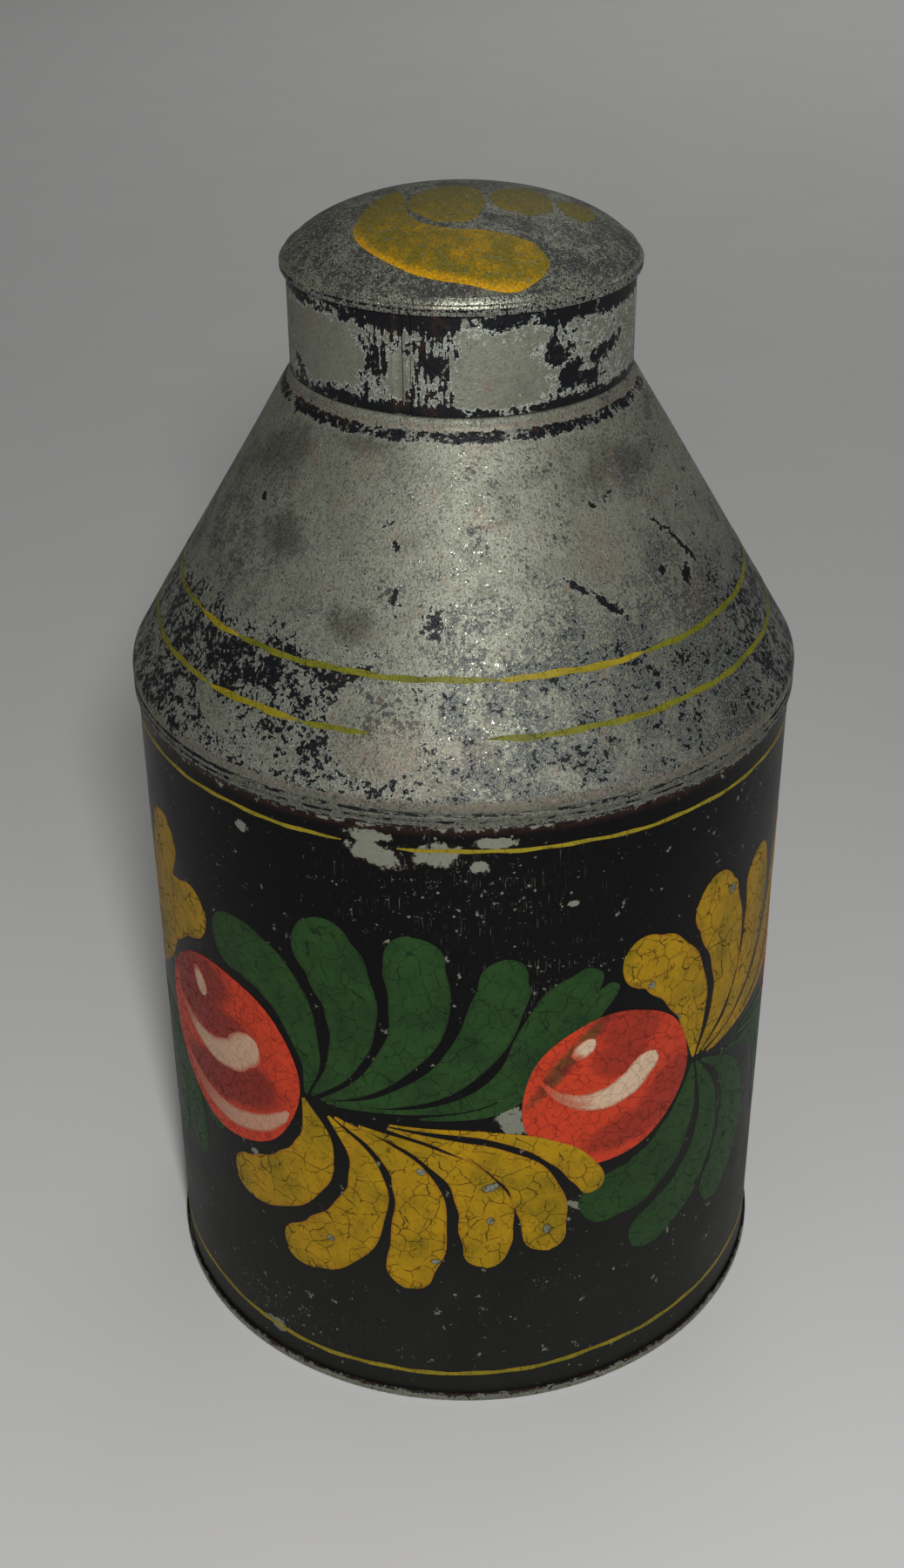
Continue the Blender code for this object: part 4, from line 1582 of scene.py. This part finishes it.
class CANISTER_OT_studio(CanisterPiece, bpy.types.Operator):
    """Sets the pale floor, the soft lights and the camera"""

    bl_idname = "canister.studio"
    bl_label = "Studio"

    def execute(self, context):
        studio = context.scene.canister_studio
        self.add_backdrop()
        self.add_light("key_light", (0.035, -0.40, 0.39), (0.0, 0.0, 0.10), 0.05, studio.key_power)
        self.add_light("fill_light", (0.25, -1.1, 0.9), (0.0, 0.0, 0.10), 0.7, studio.fill_power)
        self.add_light("far_light", (0.55, 1.6, 1.3), (0.45, 1.15, 0.0), 1.5, studio.far_power, 125.0)
        self.add_air(studio.air)
        self.add_camera(studio)
        return {"FINISHED"}

    def add_backdrop(self):
        """A sheet of paper on the floor, curved up far behind."""
        shape = bmesh.new()
        half_width, front, back, sweep_radius, top = 7.0, -9.0, 2.6, 0.6, 2.4
        sweep = arc((back, sweep_radius), sweep_radius, -math.pi / 2, 0.0, 16)
        curve = [(front, 0.0), (back, 0.0), *sweep, (back + sweep_radius, top)]
        points = [shape.verts.new((-half_width, deep, height)) for deep, height in curve]
        edges = [shape.edges.new(pair) for pair in zip(points, points[1:])]
        made = bmesh.ops.extrude_edge_only(shape, edges=edges)["geom"]
        far = [item for item in made if isinstance(item, bmesh.types.BMVert)]
        bmesh.ops.translate(shape, verts=far, vec=(2 * half_width, 0.0, 0.0))
        for face in shape.faces:
            face.smooth = True
        bmesh.ops.recalc_face_normals(shape, faces=shape.faces)
        mesh = bpy.data.meshes.new("backdrop")
        shape.to_mesh(mesh)
        shape.free()
        finish = Finish("backdrop_paper")
        where = finish.place_mm()
        tone = finish.noise(where, 60.0, 3.0, 0.5)
        mesh.materials.append(finish.set(
            Base_Color=finish.scaled(tin_colours().backdrop, 0.97 + tone * 0.06),
            Roughness=0.85,
            Specular_IOR_Level=0.2,
        ))
        backdrop = bpy.data.objects.new("backdrop", mesh)
        bpy.context.scene.collection.objects.link(backdrop)

    def add_light(self, name, place, aim, size, watts, spread=180.0):
        """A round soft light. The spread is in degrees."""
        light = bpy.data.lights.new(name, "AREA")
        light.spread = math.radians(spread)
        light.shape = "DISK"
        light.size = size
        light.energy = watts
        lamp = bpy.data.objects.new(name, light)
        lamp.location = place
        toward = Vector(aim) - Vector(place)
        lamp.rotation_euler = toward.to_track_quat("-Z", "Y").to_euler()
        bpy.context.scene.collection.objects.link(lamp)

    def add_air(self, strength):
        """Even light from all round."""
        world = bpy.data.worlds.new("room")
        bpy.context.scene.world = world
        world.use_nodes = True
        background = world.node_tree.nodes["Background"]
        background.inputs["Color"].default_value = (1.0, 1.0, 1.0, 1.0)
        background.inputs["Strength"].default_value = strength

    def add_camera(self, studio):
        """The camera, turned by its tilt, swing and roll."""
        lens = bpy.data.cameras.new("camera")
        lens.lens = studio.lens
        lens.sensor_width = 36.0
        lens.clip_start = 0.01
        eye = bpy.data.objects.new("camera", lens)
        ahead = Vector((
            math.sin(studio.swing) * math.cos(studio.tilt),
            math.cos(studio.swing) * math.cos(studio.tilt),
            -math.sin(studio.tilt),
        ))
        level_right = ahead.cross(Vector((0.0, 0.0, 1.0))).normalized()
        level_up = level_right.cross(ahead)
        right = level_right * math.cos(studio.roll) + level_up * math.sin(studio.roll)
        up = level_up * math.cos(studio.roll) - level_right * math.sin(studio.roll)
        turned = Matrix((right, up, -ahead)).transposed()
        eye.rotation_euler = turned.to_euler()
        eye.location = studio.eye
        bpy.context.scene.collection.objects.link(eye)
        bpy.context.scene.camera = eye
        bpy.context.scene.view_settings.view_transform = "Standard"


class CANISTER_PT_steps(bpy.types.Panel):
    """Lists the steps that build the canister"""

    bl_idname = "CANISTER_PT_steps"
    bl_label = "Canister"
    bl_space_type = "VIEW_3D"
    bl_region_type = "UI"
    bl_category = "Canister"

    def draw(self, context):
        for step in STEPS:
            self.layout.operator(step.bl_idname)
        for group in (context.scene.canister_sizes, context.scene.canister_colours,
                      context.scene.canister_studio):
            box = self.layout.box()
            for name in group.__annotations__:
                box.prop(group, name)


STEPS = [
    CANISTER_OT_solder, CANISTER_OT_wall, CANISTER_OT_base, CANISTER_OT_shoulder, CANISTER_OT_neck,
    CANISTER_OT_cap, CANISTER_OT_garland, CANISTER_OT_lines, CANISTER_OT_swirl, CANISTER_OT_studio,
]
GROUPS = {
    "canister_sizes": CanisterSizes,
    "canister_colours": CanisterColours,
    "canister_studio": StudioSettings,
}


def register():
    for name, group in GROUPS.items():
        bpy.utils.register_class(group)
        setattr(bpy.types.Scene, name, bpy.props.PointerProperty(type=group))
    for kind in (*STEPS, CANISTER_PT_steps):
        bpy.utils.register_class(kind)


def unregister():
    for kind in (CANISTER_PT_steps, *reversed(STEPS)):
        bpy.utils.unregister_class(kind)
    for name, group in GROUPS.items():
        delattr(bpy.types.Scene, name)
        bpy.utils.unregister_class(group)


def main():
    register()
    bpy.ops.canister.solder()
    bpy.ops.canister.wall()
    bpy.ops.canister.base()
    bpy.ops.canister.shoulder()
    bpy.ops.canister.neck()
    bpy.ops.canister.cap()
    bpy.ops.canister.garland()
    bpy.ops.canister.lines()
    bpy.ops.canister.swirl()
    bpy.ops.canister.studio()


if __name__ == "__main__":
    main()
